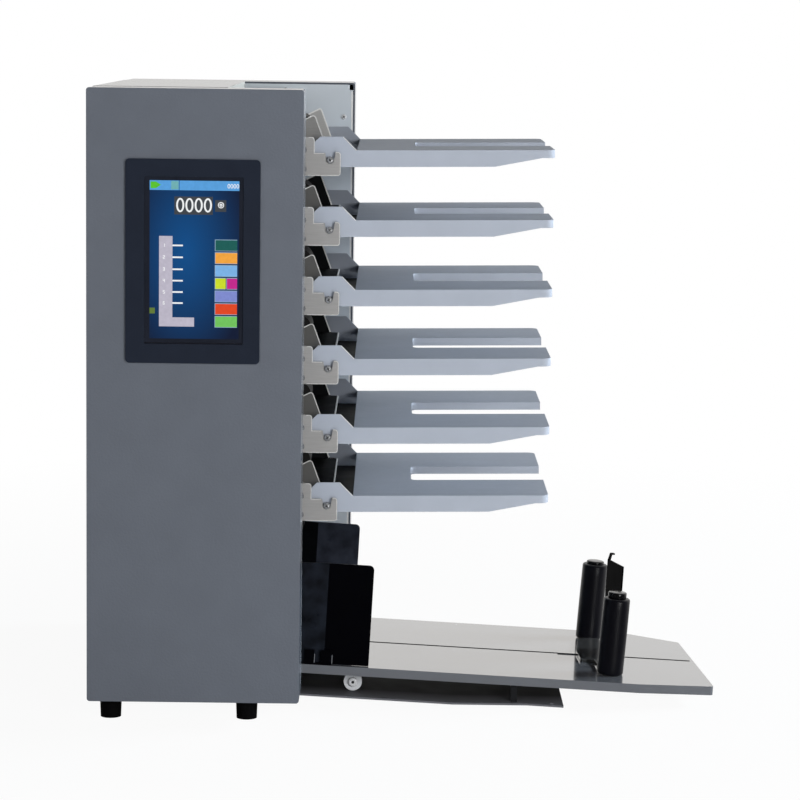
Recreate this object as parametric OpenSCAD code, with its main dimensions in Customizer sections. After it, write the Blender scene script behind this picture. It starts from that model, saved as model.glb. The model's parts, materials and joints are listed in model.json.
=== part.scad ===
// Desk-standing collating tower: six friction-feed bins, a touch screen and a sliding receiving tray.
// X runs to the right, Y to the back and Z up; the origin is the middle of the footprint on the table.

/* [Tower] */
// Width of the front cover
tower_w = 210; // [195:1:230]
// Height of the covers above the feet
cover_h = 604.5; // [600:0.5:640]
// Height of the rubber feet
foot_h = 22; // [18:1:25]
// Depth of the front cover
front_d = 60; // [52:1:75]
// Clear depth between the two frame plates beyond the width of a bin tray
bay_room = 38.5; // [33.5:0.5:54]
// Depth of the rear cover
rear_d = 84; // [76:1:110]
// How far the rear cover reaches past the front cover on the tray side
rear_extra = 44; // [36:1:60]
// Width of the top cover
top_w = 133; // [110:1:160]
// Sheet thickness of the covers
cover_t = 2; // [1.5:0.1:2.5]
// Thickness of the inner frame plates
frame_t = 2; // [1.5:0.1:3]
// Corner radius of the covers, seen from the front
cover_r = 3; // [2.6:0.1:5]

/* [Screen] */
// Width of the screen bezel
bezel_w = 130.5; // [120:0.5:150]
// Height of the screen bezel
bezel_h = 198.5; // [185:0.5:215]
// How far the bezel stands out of the front cover
bezel_proud = 2.5; // [1.5:0.1:4]
// Corner radius of the bezel
bezel_r = 4; // [2:0.5:8]
// Width of the touch glass
glass_w = 96; // [88:0.5:104]
// Height of the touch glass
glass_h = 162.5; // [156:0.5:170]
// Height of the screen's middle below the top of the cover
screen_drop = 166; // [150:0.5:190]
// Thickness of the display module behind the glass
display_t = 8; // [5:0.5:12]

/* [Bins] */
// Height from one bin to the next
bin_pitch = 69.3; // [67:0.1:70.4]
// Height of the top bin's pivot below the top of the cover
pivot_drop = 70.1; // [66:0.1:75]
// Distance from the front cover's side to the pivots
pivot_out = 24.4; // [22:0.1:28]
// Width of a bin tray over its side walls
tray_w = 291; // [280:1:310]
// Length of a bin tray from its pivot to its tips
tray_len = 223; // [200:1:240]
// Start of the tray's top, from the pivot
tray_start = 26.4; // [25:0.1:32]
// Start of the fork's slot, from the pivot
slot_start = 85.4; // [60:0.1:100]
// Width of each prong of the fork
prong_w = 100; // [85:1:115]
// Height of the tray's top above the pivot
tray_rise = 9.4; // [8.5:0.1:11]
// Height of the tray's side walls
tray_rim = 16.5; // [14:0.1:18]
// Height of the rim at the prong tips and round the slot
tray_low_rim = 8; // [6:0.5:10]
// Sheet thickness of the tray
tray_t = 1.5; // [1:0.1:2]
// Upward tilt of the trays at rest, in degrees
tray_tilt = 0.85; // [0:0.05:2]
// Radius of the pivot screws' shoulders
pivot_r = 3.4; // [2.8:0.1:3.6]

/* [Feed] */
// Radius of the feed rollers
feed_r = 16; // [14:0.1:16.4]
// Width of the feed rollers
feed_w = 60; // [40:1:90]
// Radius of all roller shafts
shaft_r = 4; // [3:0.1:4.2]
// Radius of the driven transport and exit rollers
drive_r = 16; // [13:0.1:17]
// Radius of the pinch rollers
pinch_r = 8; // [7:0.1:8.4]

/* [Receiving tray] */
// Height of the tray's top beside the tower
stack_z = 41; // [40:0.1:46]
// Slope of the tray down to its tip, in degrees
stack_tilt = 2.8; // [2.4:0.1:3.2]
// Width of the receiving tray
stack_w = 250; // [240:1:262]
// Length from the tower's side to the near tip
stack_len = 423.5; // [410:0.5:450]
// Depth of the tray's folded rim
stack_rim = 9.2; // [7:0.1:10.5]
// Width of the slot for the paper stop
stop_slot_w = 3; // [2.5:0.1:5]
// Radius of the tray's rollers
roller_r = 9.4; // [8:0.1:10.5]
// Height of the side guides
guide_h = 105; // [90:1:110]
// Height of the foam posts of the paper stop
post_h = 80; // [60:1:100]
// Radius of the foam posts
post_r = 13.6; // [12:0.1:16]
// Thickness of the black ramp plate
ramp_t = 2; // [1.5:0.1:2.5]

/* [Hidden] */
$fn = 48;

bin_count = 6;
// Clearances: a sliding gap, a running fit in a bore, a loose hole and the overlap of cutting tools
gap = 0.3;
run_fit = 0.05;
loose = 0.5;
cut = 1;

// Places in depth
frame_y = front_d;
bay_y = frame_y + frame_t;
bay_d = tray_w + bay_room;
rear_frame_y = bay_y + bay_d;
rear_lip = 0.5;
rear_y = rear_frame_y - rear_lip;
rear_back = rear_y + rear_d;
rear_w = tower_w + rear_extra;
cover_top = foot_h + cover_h;
pan_t = 3;
pan_z = foot_h + cover_t;
frame_z = pan_z + pan_t;

// Bin trays and their brackets
bracket_t = 2;
bracket_gap = 2;
bracket_in = 4;
bracket_y = bay_y + bracket_in;
tray_y = bracket_y + bracket_t + bracket_gap;
tray_far = tray_y + tray_w;
rear_bracket_y = tray_far + bracket_gap;
pivot_x = tower_w + pivot_out;
pivot_z = cover_top - pivot_drop;
paper_off = 2.5;
paper_y = tray_y + tray_w / 2 + paper_off;
function bin_z(k) = pivot_z - (k - 1) * bin_pitch;

notch_r = pivot_r + gap;
notch_mouth = 5.4;
bracket_left = -31;
bracket_right = 10.4;
bracket_step = -15.6;
bracket_top = 22.5;
bracket_ledge = 6.9;
bracket_horn = 8.1;
bracket_low = -15.6;
bracket_r = 3;
bracket_post_r = 3.5;
bracket_post_x = -26.5;
bracket_post_z = [10, -9];

hook_top = 23;
hook_left = -9.7;
hook_right = 13.2;
arm_left = -31;
arm_right = -15;
arm_top = 18.1;
arm_low = 6;
hook_low_x = -8;
hook_lap = 6;
stop_stud_r = 2;
stop_stud_x = -24;
stop_stud_len = 5;
taper_long = 60;
taper_short = 13;
taper_start = tray_len - taper_long;
taper_end = tray_len - taper_short;
tip_r = 9;
slot_r = 7;
pivot_proud = 1;
pivot_out_len = bracket_gap + bracket_t + pivot_proud;
shank_r = 2.5;
nut_r = 5;
nut_t = 2.5;
cross_w = 0.8;
cross_half = 2;
cross_depth = 0.8;

// Feed heads, decks and rollers, measured from each bin's pivot
head_peak = [-16, 44.6];
head_corner = [-1.7, 5.6];
head_low = [-40, -15];
head_left = [-56, 24.6];
head_t = 1.5;
head_r = 3;
head_in = 20;
head_web_h = 11;
head_web_in = 1.5;
head_y = bay_y + head_in;
head_room = 43.5;
head_span = tray_w - head_room;
head_far = head_y + head_span;
head_post_r = 3.5;
head_posts = [[-46.5, 18], [-38.5, -4]];
feed_x = -36;
feed_lift = 0.6;
feed_z = tray_rise + feed_lift + feed_r;
deck_left = -54;
deck_right = 5.6;
deck_shoulder = -24;
deck_t = 1.5;
deck_far_in = 9.5;
deck_far = head_far - deck_far_in;
deck_near = 2 * paper_y - deck_far;
floor_drop = 12.8;
floor_in = 8;
floor_left = -2;
floor_lap = 4;
floor_post_r = 2.5;
floor_post_x = 1.5;
floor_post_in = 12;
pad_len = 12;
pad_w = 40;
pad_up = 0.2;
pad_lip = 3;
pad_lip_t = 2;
bush_r = 7;
bush_flange_r = 9;
bush_flange_t = 2;
motor_box = 34;
motor_len = 46;
motor_collar_r = 12;
motor_collar_t = 6.5;
shaft_end = 3;
shaft_in_motor = 14;

// Paper chute and the rollers that drive the sheets
paper_in = 71.4;
paper_x = pivot_x - paper_in;
sheet_t = 1.5;
chute_half = 6.5;
chute_left = paper_x - chute_half - sheet_t;
chute_room = 14;
chute_right = paper_x + chute_room;
chute_top = 48;
strip_low = 32;
strip_high = 64;
nip = 0.4;
transport_up = 48;
transport_x = paper_x - drive_r;
transport_z = bin_z(bin_count - 2) + transport_up;
transport_pinch_x = paper_x + nip + pinch_r;
exit_in = 44.4;
exit_x = pivot_x - exit_in;
exit_nip_drop = 35.9;
exit_nip_z = bin_z(bin_count) - exit_nip_drop;
exit_z = exit_nip_z - drive_r;
exit_pinch_z = exit_nip_z + nip + pinch_r;
curve_r = 36;
curve_angle = 68;
tyre_w = 30;
tyre_y = 55;
window_room = 2;

// Drive behind the front cover
pulley_r = 12;
motor_pulley_r = 8;
pulley_w = 9;
pulley_rim = 2.5;
pulley_rim_t = 1.5;
pulley_in = 14;
pulley_y = frame_y - pulley_in;
belt_t = 1.5;
main_motor_x = 85;
main_motor_down = 256;
main_motor_z = pivot_z - main_motor_down;
main_motor_r = 27;
main_motor_len = 64;
main_motor_bore = 40;
main_motor_room = 2;

// Receiving tray, in its own sloping frame: u from the tower's side, w up from its top
stack_t = 1.5;
stack_r = 4;
stack_left = -60;
stack_near = paper_y - stack_w / 2;
stack_far = paper_y + stack_w / 2;
tip_far_back = 16;
taper_back = 77.5;
chamfer_back = 78;
near_tip_in = 10;
far_tip_in = 34;
slot_from = 24;
slot_end_in = 5;
axle_u = 53;
axle_r = 3;
axle_ear = 5;
axle_ear_t = 2;
ramp_drop = 31.4;
axle_w = -(ramp_drop - roller_r - gap);
roller_w = 10;
roller_in = 28;
roller_y = stack_near + roller_in;
axle_head_r = 4.6;
axle_head_t = 2;
guide_t = 1.5;
guide_in = 6;
guide_right = 68;
guide_bend = 22;
guide_left = -8;
guide_flare = 5;
guide_r = 5;
guide_rear_shift = -17.5;
guide_foot = 6;
guide_tab_h = 15.5;
guide_tabs = [[2.5, 9.5], [19, 11]];
guide_inner_foot = 10;
guide_inner_len = 16;
guide_stud_in = 8;
guide_stud_u = 12;
guide_stud_r = 2;
guide_nut_r = 6;
guide_nut_t = 3;
guide_travel = 40;
stop_u = 313;
stop_yaw = 3.7;
stop_t = 3;
stop_half = 85;
stop_wing = 93;
stop_nose = 24;
stop_nose_w = 9;
stop_side = 9;
stop_near = 35;
stop_corner_r = 6;
stop_keel = 12;
stop_keel_len = 30;
stop_tongue = 20;
stop_tongue_w = 5;
stop_tongue_t = 0.8;
stop_clamp_w = 14;
stop_clamp_t = 3;
post_lean = 1.5;
cap_r = 9.5;
cap_near = 6.5;
cap_far = 3.5;
back_u = 10.5;
back_yaw = 18;
back_w = 42;
back_h = 98;
back_t = 1.5;
back_foot = 9;
back_foot_room = 1;
back_lip = 5;
back_tip = 7;
back_curl = 3;

// Ramp plate under the receiving tray
ramp_side = 2;
ramp_w = stack_w - 2 * ramp_side;
ramp_near = paper_y - ramp_w / 2;
ramp_under = 46;
ramp_left = tower_w - ramp_under;
ramp_flange_t = 2;
ramp_reach = 268;
ramp_right = tower_w + ramp_reach;
ramp_toe = 8;
ramp_toe_len = 36;
ramp_hole_r = 3;
ramp_hole_in = 11;
glide_out = 214.5;
glide_x = tower_w + glide_out;
glide_len = 6.5;
glide_w = 8;
glide_in = 9;
function stack_top(x) = stack_z - (x - tower_w) * tan(stack_tilt);
function ramp_line(x) = stack_top(x) - ramp_drop / cos(stack_tilt);
function ramp_surface(x) = max(ramp_t, ramp_line(x));
ramp_bend = tower_w + (stack_z - ramp_drop / cos(stack_tilt) - ramp_t) / tan(stack_tilt);

// Side door and the power inlet
door_t = 2;
door_gap = 2;
door_axis_in = 5;
door_axis_back = 9.5;
door_end_back = 3;
door_barrel_r = 3.4;
door_barrel_h = 24;
door_pin_r = 1.6;
door_lug_t = 3;
door_notch = 0.6;
door_hinge_in = 70;
door_axis_y = rear_frame_y - door_axis_back;
pan_left = door_axis_in + norm([door_axis_in, door_axis_back - door_end_back]) + gap;
door_z = pan_z + door_gap;
door_h = cover_top - cover_t - door_gap - door_z;
inlet_x = 57;
inlet_up = 58;
inlet_w = 34;
inlet_h = 62;
inlet_flange = 2;
inlet_body_w = 28;
inlet_body_h = 55;
inlet_deep = 30;
inlet_r = 3;
socket_w = 24;
socket_h = 17;
socket_deep = 16;
socket_down = 14;
contact_t = 2;
contact_w = 4;
contact_h = 9;
contact_pitch = 7;
rocker_up = 14;
rocker_w = 13;
rocker_h = 20;
rocker_room = 1;
rocker_deep = 14;
rocker_in = 6.5;
rocker_pin_r = 1.2;
rocker_pin_len = 1.4;
rocker_swing = 8;
rocker_face = 5.2;
rocker_dip = 0.7;
rocker_back = 4;
inlet_z = foot_h + inlet_up;

// Feet
foot_r = 11;
foot_low_r = 10.2;
foot_x = 21;
foot_right_in = 53;
foot_right_x = tower_w - foot_right_in;
foot_in = 31;

// Middle of the footprint
stack_tip = inset_plan(stack_plan(), stack_r)[2][0] + stack_r;
stack_tip_x = tower_w + stack_tip * cos(stack_tilt);
mid_x = stack_tip_x / 2;
depth_mid = (rear_back + inlet_flange - bezel_proud) / 2;

module place()
    translate([-mid_x, -depth_mid, 0])
        children();

// A profile drawn in X and Z, carried along Y
module along_y(y0, len)
    translate([0, y0 + len, 0])
        rotate([90, 0, 0])
            linear_extrude(len)
                children();

// A profile drawn in Y and Z, carried along X
module along_x(x0, len)
    translate([x0, 0, 0])
        rotate([90, 0, 90])
            linear_extrude(len)
                children();

// A round bar along Y
module rod_y(x, z, y0, len, r)
    translate([x, y0, z])
        rotate([-90, 0, 0])
            cylinder(h = len, r = r);

module box(x0, y0, z0, x1, y1, z1)
    translate([x0, y0, z0])
        cube([x1 - x0, y1 - y0, z1 - z0]);

module round_rect(x, y, w, h, r) {
    translate([x + r, y])
        square([w - 2 * r, h]);
    translate([x, y + r])
        square([w, h - 2 * r]);
    for (i = [0, 1], j = [0, 1])
        translate([x + r + i * (w - 2 * r), y + r + j * (h - 2 * r)])
            circle(r);
}

// Corners of a plan moved in by d, where neighbouring edges meet again; the corners run counter-clockwise
function inset_plan(p, d) = [
    for (i = [0 : len(p) - 1])
        p[i] + d * (edge_in(p, i - 1) + edge_in(p, i)) / (1 + edge_in(p, i - 1) * edge_in(p, i))
];

// Unit vector that points into the plan from the edge that starts at corner i
function edge_in(p, i) =
    let (n = len(p), e = p[(i + 1 + n) % n] - p[(i + n) % n])
        [-e[1], e[0]] / norm(e);

// A plan with round corners
module round_plan(p, r) {
    c = inset_plan(p, r);
    polygon([
        for (i = [0 : len(p) - 1], j = [i - 1, i])
            c[i] - r * edge_in(p, j)
    ]);
    for (q = c)
        translate(q)
            circle(r);
}

// What a round convex corner takes off; sx and sy point from the corner into the plate
module corner_cut(x, y, r, sx, sy)
    translate([x, y])
        difference() {
            translate([sx > 0 ? -cut : -r, sy > 0 ? -cut : -r])
                square(r + cut);
            translate([sx * r, sy * r])
                circle(r);
        }

// The sloping frame of the receiving tray
module on_stack()
    translate([tower_w, 0, stack_z])
        rotate([0, stack_tilt, 0])
            children();

// Mirrors a front piece to the back of the paper's middle line
module to_far()
    translate([0, 2 * paper_y, 0])
        mirror([0, 1, 0])
            children();

// Casing and frame

module base_pan()
    color("silver")
        place()
            box(pan_left, cover_t, pan_z, tower_w - cover_r, rear_back - cover_t, frame_z);

screen_z = cover_top - screen_drop;
screen_off = 0.5;
screen_x = tower_w / 2 - screen_off;
bezel_shift = 1;
pane_r = 1;
collar_t = 2.5;
collar_d = 4;
collar_w = glass_w + 2 * collar_t;
collar_h = glass_h + 2 * collar_t;

module front_cover()
    color("slategray")
        place()
            difference() {
                along_y(0, front_d)
                    round_rect(0, foot_h, tower_w, cover_h, cover_r);
                along_y(cover_t, front_d)
                    round_rect(
                        cover_t, pan_z, tower_w - 2 * cover_t, cover_h - 2 * cover_t, cover_r - cover_t
                    );
                box(
                    screen_x - collar_w / 2 - gap, -cut, screen_z - collar_h / 2 - gap,
                    screen_x + collar_w / 2 + gap, cover_t + cut, screen_z + collar_h / 2 + gap
                );
            }

module rear_cover()
    color("slategray")
        place()
            difference() {
                along_y(rear_y, rear_d)
                    round_rect(0, foot_h, rear_w, cover_h, cover_r);
                along_y(rear_y - cut, rear_d - cover_t + cut)
                    round_rect(
                        cover_t, pan_z, rear_w - 2 * cover_t, cover_h - 2 * cover_t, cover_r - cover_t
                    );
                box(
                    inlet_x - inlet_body_w / 2 - gap, rear_back - cover_t - cut,
                    inlet_z - inlet_body_h / 2 - gap,
                    inlet_x + inlet_body_w / 2 + gap, rear_back + cut,
                    inlet_z + inlet_body_h / 2 + gap
                );
            }

top_flange = 18;

module top_cover()
    color("gainsboro")
        place() {
            box(0, bay_y, cover_top - cover_t, top_w, rear_y, cover_top);
            box(top_w - cover_t, bay_y, cover_top - cover_t - top_flange, top_w, rear_y, cover_top);
        }

// Holes in both frame plates for every shaft bush
module bush_seats(y0)
    for (s = shafts())
        rod_y(s[0], s[1], y0 - cut, frame_t + 2 * cut, bush_r);

function shafts() = concat(
    [for (k = [1 : bin_count]) [pivot_x + feed_x, bin_z(k) + feed_z]],
    [
        [transport_x, transport_z], [transport_pinch_x, transport_z],
        [exit_x, exit_z], [exit_x, exit_pinch_z]
    ]
);

module front_frame()
    color("lightgray")
        place()
            difference() {
                along_y(frame_y, frame_t)
                    difference() {
                        translate([0, frame_z])
                            square([tower_w, cover_top - frame_z]);
                        corner_cut(0, cover_top, cover_r, 1, -1);
                        corner_cut(tower_w, cover_top, cover_r, -1, -1);
                    }
                bush_seats(frame_y);
                rod_y(main_motor_x, main_motor_z, frame_y - cut, frame_t + 2 * cut, shaft_r + loose);
            }

frame_notch_w = 4;
frame_notch_h = 6;

module rear_frame()
    color("lightgray")
        place() {
            difference() {
                along_y(rear_frame_y, frame_t)
                    difference() {
                        translate([cover_t, frame_z])
                            square([rear_w - 2 * cover_t, cover_top - cover_t - frame_z]);
                        corner_cut(cover_t, cover_top - cover_t, cover_r - cover_t, 1, -1);
                        translate([rear_w - cover_t - frame_notch_w, cover_top - cover_t - frame_notch_h])
                            square([frame_notch_w + cut, frame_notch_h + cut]);
                    }
                bush_seats(rear_frame_y);
            }
            for (z = [door_z + door_hinge_in, door_z + door_h - door_hinge_in])
                hinge_lug(z);
        }

// A lug on the rear frame that carries one hinge pin of the side door
module hinge_lug(z) {
    box(
        door_t + gap, door_axis_y - door_barrel_r, z - door_lug_t - gap,
        door_axis_in + door_barrel_r, rear_frame_y, z - gap
    );
    translate([door_axis_in, door_axis_y, z - gap - door_lug_t / 2])
        cylinder(h = door_barrel_h + door_lug_t / 2, r = door_pin_r);
}

tie_r = 6;
tie_left = 30;
tie_right_in = 13;
tie_up = 42;
tie_down = 34.5;

// Bars between the frame plates, and the spacer posts of the brackets, feed heads and deck floors
module tie_bars()
    color("silver")
        place() {
            for (x = [tie_left, top_w - tie_right_in], z = [foot_h + tie_up, cover_top - tie_down])
                rod_y(x, z, bay_y, bay_d, tie_r);
            for (k = [1 : bin_count]) {
                for (z = bracket_post_z)
                    post_pair(
                        pivot_x + bracket_post_x, bin_z(k) + z,
                        bracket_y, rear_bracket_y + bracket_t, bracket_post_r
                    );
                for (p = head_posts)
                    post_pair(pivot_x + p[0], bin_z(k) + p[1], head_y, head_far, head_post_r);
                for (y = [deck_near + floor_post_in, deck_far - floor_post_in])
                    translate([pivot_x + floor_post_x, y, bin_z(k) + tray_rise - floor_drop])
                        cylinder(h = floor_drop - deck_t, r = floor_post_r);
            }
        }

// Posts from the two frame plates in to the plates at near and far
module post_pair(x, z, near, far, r) {
    rod_y(x, z, bay_y, near - bay_y, r);
    rod_y(x, z, far, rear_frame_y - far, r);
}

module rubber_feet()
    color("black")
        place()
            for (x = [foot_x, foot_right_x], y = [foot_in, rear_back - foot_in])
                translate([x, y, 0])
                    cylinder(h = foot_h, r1 = foot_low_r, r2 = foot_r);

// Screen

module screen_plate(w, h, r)
    round_rect(screen_x - w / 2, screen_z - h / 2, w, h, r);

module screen_bezel()
    color("midnightblue")
        place()
            difference() {
                union() {
                    along_y(-bezel_proud, bezel_proud)
                        round_rect(
                            screen_x - bezel_shift - bezel_w / 2, screen_z - bezel_shift - bezel_h / 2,
                            bezel_w, bezel_h, bezel_r
                        );
                    along_y(0, collar_d)
                        screen_plate(collar_w, collar_h, pane_r);
                }
                along_y(-bezel_proud - cut, bezel_proud + collar_d + 2 * cut)
                    screen_plate(glass_w, glass_h, pane_r);
            }

glass_t = 2;
glass_in = 1;
glass_room = 0.15;

module touch_glass()
    color("black")
        place()
            along_y(glass_in - bezel_proud, glass_t)
                screen_plate(glass_w - 2 * glass_room, glass_h - 2 * glass_room, pane_r);

display_y = glass_in - bezel_proud + glass_t;

module display_module()
    color("darkslategray")
        place() {
            along_y(display_y, collar_d - display_y + cut)
                screen_plate(glass_w - 2 * glass_room, glass_h - 2 * glass_room, pane_r);
            along_y(collar_d, display_t)
                screen_plate(collar_w, collar_h, pane_r);
        }

board_w = 86;
board_h = 140;
board_t = 1.6;
board_off = 9;
board_post_r = 3;
board_post_in = 6;
chips = [[-20, 40, 22], [12, 10, 30], [-18, -35, 26]];
chip_t = 3;

module control_board()
    color("darkgreen")
        place() {
            y0 = collar_d + display_t;
            box(
                screen_x - board_w / 2, y0 + board_off, screen_z - board_h / 2,
                screen_x + board_w / 2, y0 + board_off + board_t, screen_z + board_h / 2
            );
            for (i = [-1, 1], j = [-1, 1])
                rod_y(
                    screen_x + i * (board_w / 2 - board_post_in),
                    screen_z + j * (board_h / 2 - board_post_in),
                    y0, board_off + board_t / 2, board_post_r
                );
            for (c = chips)
                translate([screen_x + c[0], y0 + board_off + (board_t + chip_t) / 2, screen_z + c[1]])
                    cube([c[2], board_t + chip_t, c[2]], center = true);
        }

// Power

supply_x = 30;
supply_w = 100;
supply_up = 120;
supply_h = 170;
supply_d = 42;

module power_supply()
    color("gray")
        place()
            translate([supply_x, rear_frame_y + frame_t, foot_h + supply_up])
                cube([supply_w, supply_d, supply_h]);

module power_inlet()
    color("black")
        place() {
            difference() {
                union() {
                    along_y(rear_back, inlet_flange)
                        round_rect(inlet_x - inlet_w / 2, inlet_z - inlet_h / 2, inlet_w, inlet_h, inlet_r);
                    box(
                        inlet_x - inlet_body_w / 2, rear_back - inlet_deep, inlet_z - inlet_body_h / 2,
                        inlet_x + inlet_body_w / 2, rear_back, inlet_z + inlet_body_h / 2
                    );
                }
                along_y(rear_back + inlet_flange - socket_deep, socket_deep + cut)
                    round_rect(
                        inlet_x - socket_w / 2, inlet_z - socket_down - socket_h / 2,
                        socket_w, socket_h, inlet_r
                    );
                box(
                    inlet_x - rocker_w / 2 - rocker_room, rear_back + inlet_flange - rocker_deep,
                    inlet_z + rocker_up - rocker_h / 2 - rocker_room,
                    inlet_x + rocker_w / 2 + rocker_room, rear_back + inlet_flange + cut,
                    inlet_z + rocker_up + rocker_h / 2 + rocker_room
                );
                translate([inlet_x, rear_back + inlet_flange - rocker_in, inlet_z + rocker_up])
                    rotate([0, 90, 0])
                        cylinder(
                            h = rocker_w + 2 * rocker_pin_len + 2 * gap,
                            r = rocker_pin_r + run_fit, center = true
                        );
            }
            for (i = [-1, 0, 1])
                translate([
                    inlet_x + i * contact_pitch - contact_t / 2,
                    rear_back + inlet_flange - socket_deep - cut,
                    inlet_z - socket_down - contact_w / 2
                ])
                    cube([contact_t, contact_h + cut, contact_w]);
        }

module power_rocker()
    color("firebrick")
        place()
            translate([inlet_x, rear_back + inlet_flange - rocker_in, inlet_z + rocker_up])
                rotate([rocker_swing, 0, 0]) {
                    along_x(-rocker_w / 2, rocker_w)
                        polygon([
                            [-rocker_back, -rocker_h / 4], [-rocker_back, rocker_h / 4],
                            [rocker_face - rocker_dip, rocker_h / 2], [rocker_face - 2 * rocker_dip, 0],
                            [rocker_face - rocker_dip, -rocker_h / 2]
                        ]);
                    rotate([0, 90, 0])
                        cylinder(h = rocker_w + 2 * rocker_pin_len, r = rocker_pin_r, center = true);
                }

// Bins

module bracket_outline(k)
    translate([pivot_x, bin_z(k)])
        difference() {
            polygon([
                [bracket_left, bracket_low], [bracket_right, bracket_low], [bracket_right, bracket_horn],
                [0, bracket_horn], [0, bracket_ledge], [bracket_step, bracket_ledge],
                [bracket_step, bracket_top], [bracket_left, bracket_top]
            ]);
            circle(notch_r);
            polygon([
                [-notch_r, 0], [notch_r, 0],
                [notch_mouth, bracket_horn + cut], [-notch_mouth, bracket_horn + cut]
            ]);
            corner_cut(bracket_right, bracket_low, bracket_r, -1, 1);
            corner_cut(bracket_right, bracket_horn, bracket_r, -1, -1);
            corner_cut(bracket_step, bracket_top, bracket_r, -1, -1);
        }

module hook_brackets()
    color("tan")
        place()
            for (k = [1 : bin_count]) {
                along_y(bracket_y, bracket_t)
                    bracket_outline(k);
                along_y(rear_bracket_y, bracket_t)
                    bracket_outline(k);
                stud_z = arm_top + gap + stop_stud_r;
                rod_y(
                    pivot_x + stop_stud_x, bin_z(k) + stud_z, bracket_y + bracket_t / 2,
                    bracket_t / 2 + stop_stud_len, stop_stud_r
                );
                rod_y(
                    pivot_x + stop_stud_x, bin_z(k) + stud_z, rear_bracket_y - stop_stud_len,
                    bracket_t / 2 + stop_stud_len, stop_stud_r
                );
            }

module fork_plan(inset)
    difference() {
        translate([tray_start + inset, inset])
            square([tray_len - tray_start - 2 * inset, tray_w - 2 * inset]);
        corner_cut(tray_len - inset, inset, tip_r - inset, -1, 1);
        corner_cut(tray_len - inset, tray_w - inset, tip_r - inset, -1, -1);
        difference() {
            translate([slot_start - inset, prong_w - inset])
                square([tray_len, tray_w - 2 * prong_w + 2 * inset]);
            corner_cut(slot_start - inset, prong_w - inset, slot_r + inset, 1, 1);
            corner_cut(slot_start - inset, tray_w - prong_w + inset, slot_r + inset, 1, -1);
        }
    }

module hook_outline()
    difference() {
        polygon([
            [arm_left, arm_top], [arm_right, arm_top], [hook_left, hook_top], [hook_right, hook_top],
            [tray_start, tray_rise], [tray_start + hook_lap, tray_rise],
            [tray_start + hook_lap, tray_rise - tray_rim], [hook_low_x, tray_rise - tray_rim],
            [arm_left, arm_low]
        ]);
        circle(shank_r + run_fit);
    }

module at_bin(k)
    place()
        translate([pivot_x, tray_y, bin_z(k)])
            rotate([0, -tray_tilt, 0])
                children();

module bin_tray(k)
    color("lightsteelblue")
        at_bin(k) {
            low = tray_rise - tray_rim;
            difference() {
                translate([0, 0, low])
                    linear_extrude(tray_rim)
                        fork_plan(0);
                translate([0, 0, low - cut])
                    linear_extrude(tray_rim - tray_t + cut)
                        fork_plan(tray_t);
                box(
                    tray_start - cut, tray_t, low - cut,
                    tray_len + cut, tray_w - tray_t, tray_rise - tray_low_rim
                );
                along_y(-cut, tray_w + 2 * cut)
                    polygon([
                        [taper_start, low], [taper_end, tray_rise - tray_low_rim],
                        [tray_len + cut, tray_rise - tray_low_rim], [tray_len + cut, low - cut],
                        [taper_start, low - cut]
                    ]);
            }
            for (y = [0, tray_w - tray_t])
                along_y(y, tray_t)
                    hook_outline();
        }

module pivot_screw()
    difference() {
        union() {
            rod_y(0, 0, -pivot_out_len, pivot_out_len, pivot_r);
            rod_y(0, 0, -cut, tray_t + 2 * cut, shank_r);
            translate([0, tray_t, 0])
                rotate([-90, 0, 0])
                    cylinder(h = nut_t, r = nut_r, $fn = 6);
        }
        for (a = [0, 90])
            rotate([0, a, 0])
                translate([-cross_half, -pivot_out_len - cut, -cross_w / 2])
                    cube([2 * cross_half, cross_depth + cut, cross_w]);
    }

module tray_pivots(k)
    color("gray")
        at_bin(k) {
            pivot_screw();
            translate([0, tray_w, 0])
                mirror([0, 1, 0])
                    pivot_screw();
        }

// Feed

module head_ear(k)
    translate([pivot_x, bin_z(k)])
        difference() {
            round_plan([head_peak, head_left, head_low, head_corner], head_r);
            translate([feed_x, feed_z])
                circle(shaft_r + loose);
        }

module feed_heads()
    color("gray")
        place()
            for (k = [1 : bin_count]) {
                along_y(head_y, head_t)
                    head_ear(k);
                along_y(head_far - head_t, head_t)
                    head_ear(k);
            }

module feed_decks()
    color("dimgray")
        place()
            for (k = [1 : bin_count]) {
                translate([pivot_x + head_left[0] + head_web_in, 0, bin_z(k) + head_left[1] - head_web_h])
                    box(0, head_y + head_t, 0, head_t, head_far - head_t, head_web_h);
                translate([pivot_x, 0, bin_z(k) + tray_rise - deck_t])
                    difference() {
                        union() {
                            box(deck_left, head_y + head_t, 0, deck_shoulder, head_far - head_t, deck_t);
                            box(deck_left, deck_near, 0, deck_right, deck_far, deck_t);
                        }
                        box(
                            feed_x - pad_len / 2 - gap, paper_y - pad_w / 2 - gap, -cut,
                            feed_x + pad_len / 2 + gap, paper_y + pad_w / 2 + gap, deck_t + cut
                        );
                    }
                translate([pivot_x, 0, bin_z(k) + tray_rise - deck_t - floor_drop])
                    box(
                        floor_left, tray_y + floor_in, 0,
                        tray_start + floor_lap, tray_y + tray_w - floor_in, deck_t
                    );
            }

module separator_pads()
    color("black")
        place()
            for (k = [1 : bin_count])
                translate([pivot_x + feed_x, paper_y, bin_z(k) + tray_rise - deck_t]) {
                    box(-pad_len / 2, -pad_w / 2, -pad_lip_t, pad_len / 2, pad_w / 2, deck_t + pad_up);
                    box(
                        -pad_len / 2 - pad_lip, -pad_w / 2 - pad_lip, -pad_lip_t,
                        pad_len / 2 + pad_lip, pad_w / 2 + pad_lip, 0
                    );
                }

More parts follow.
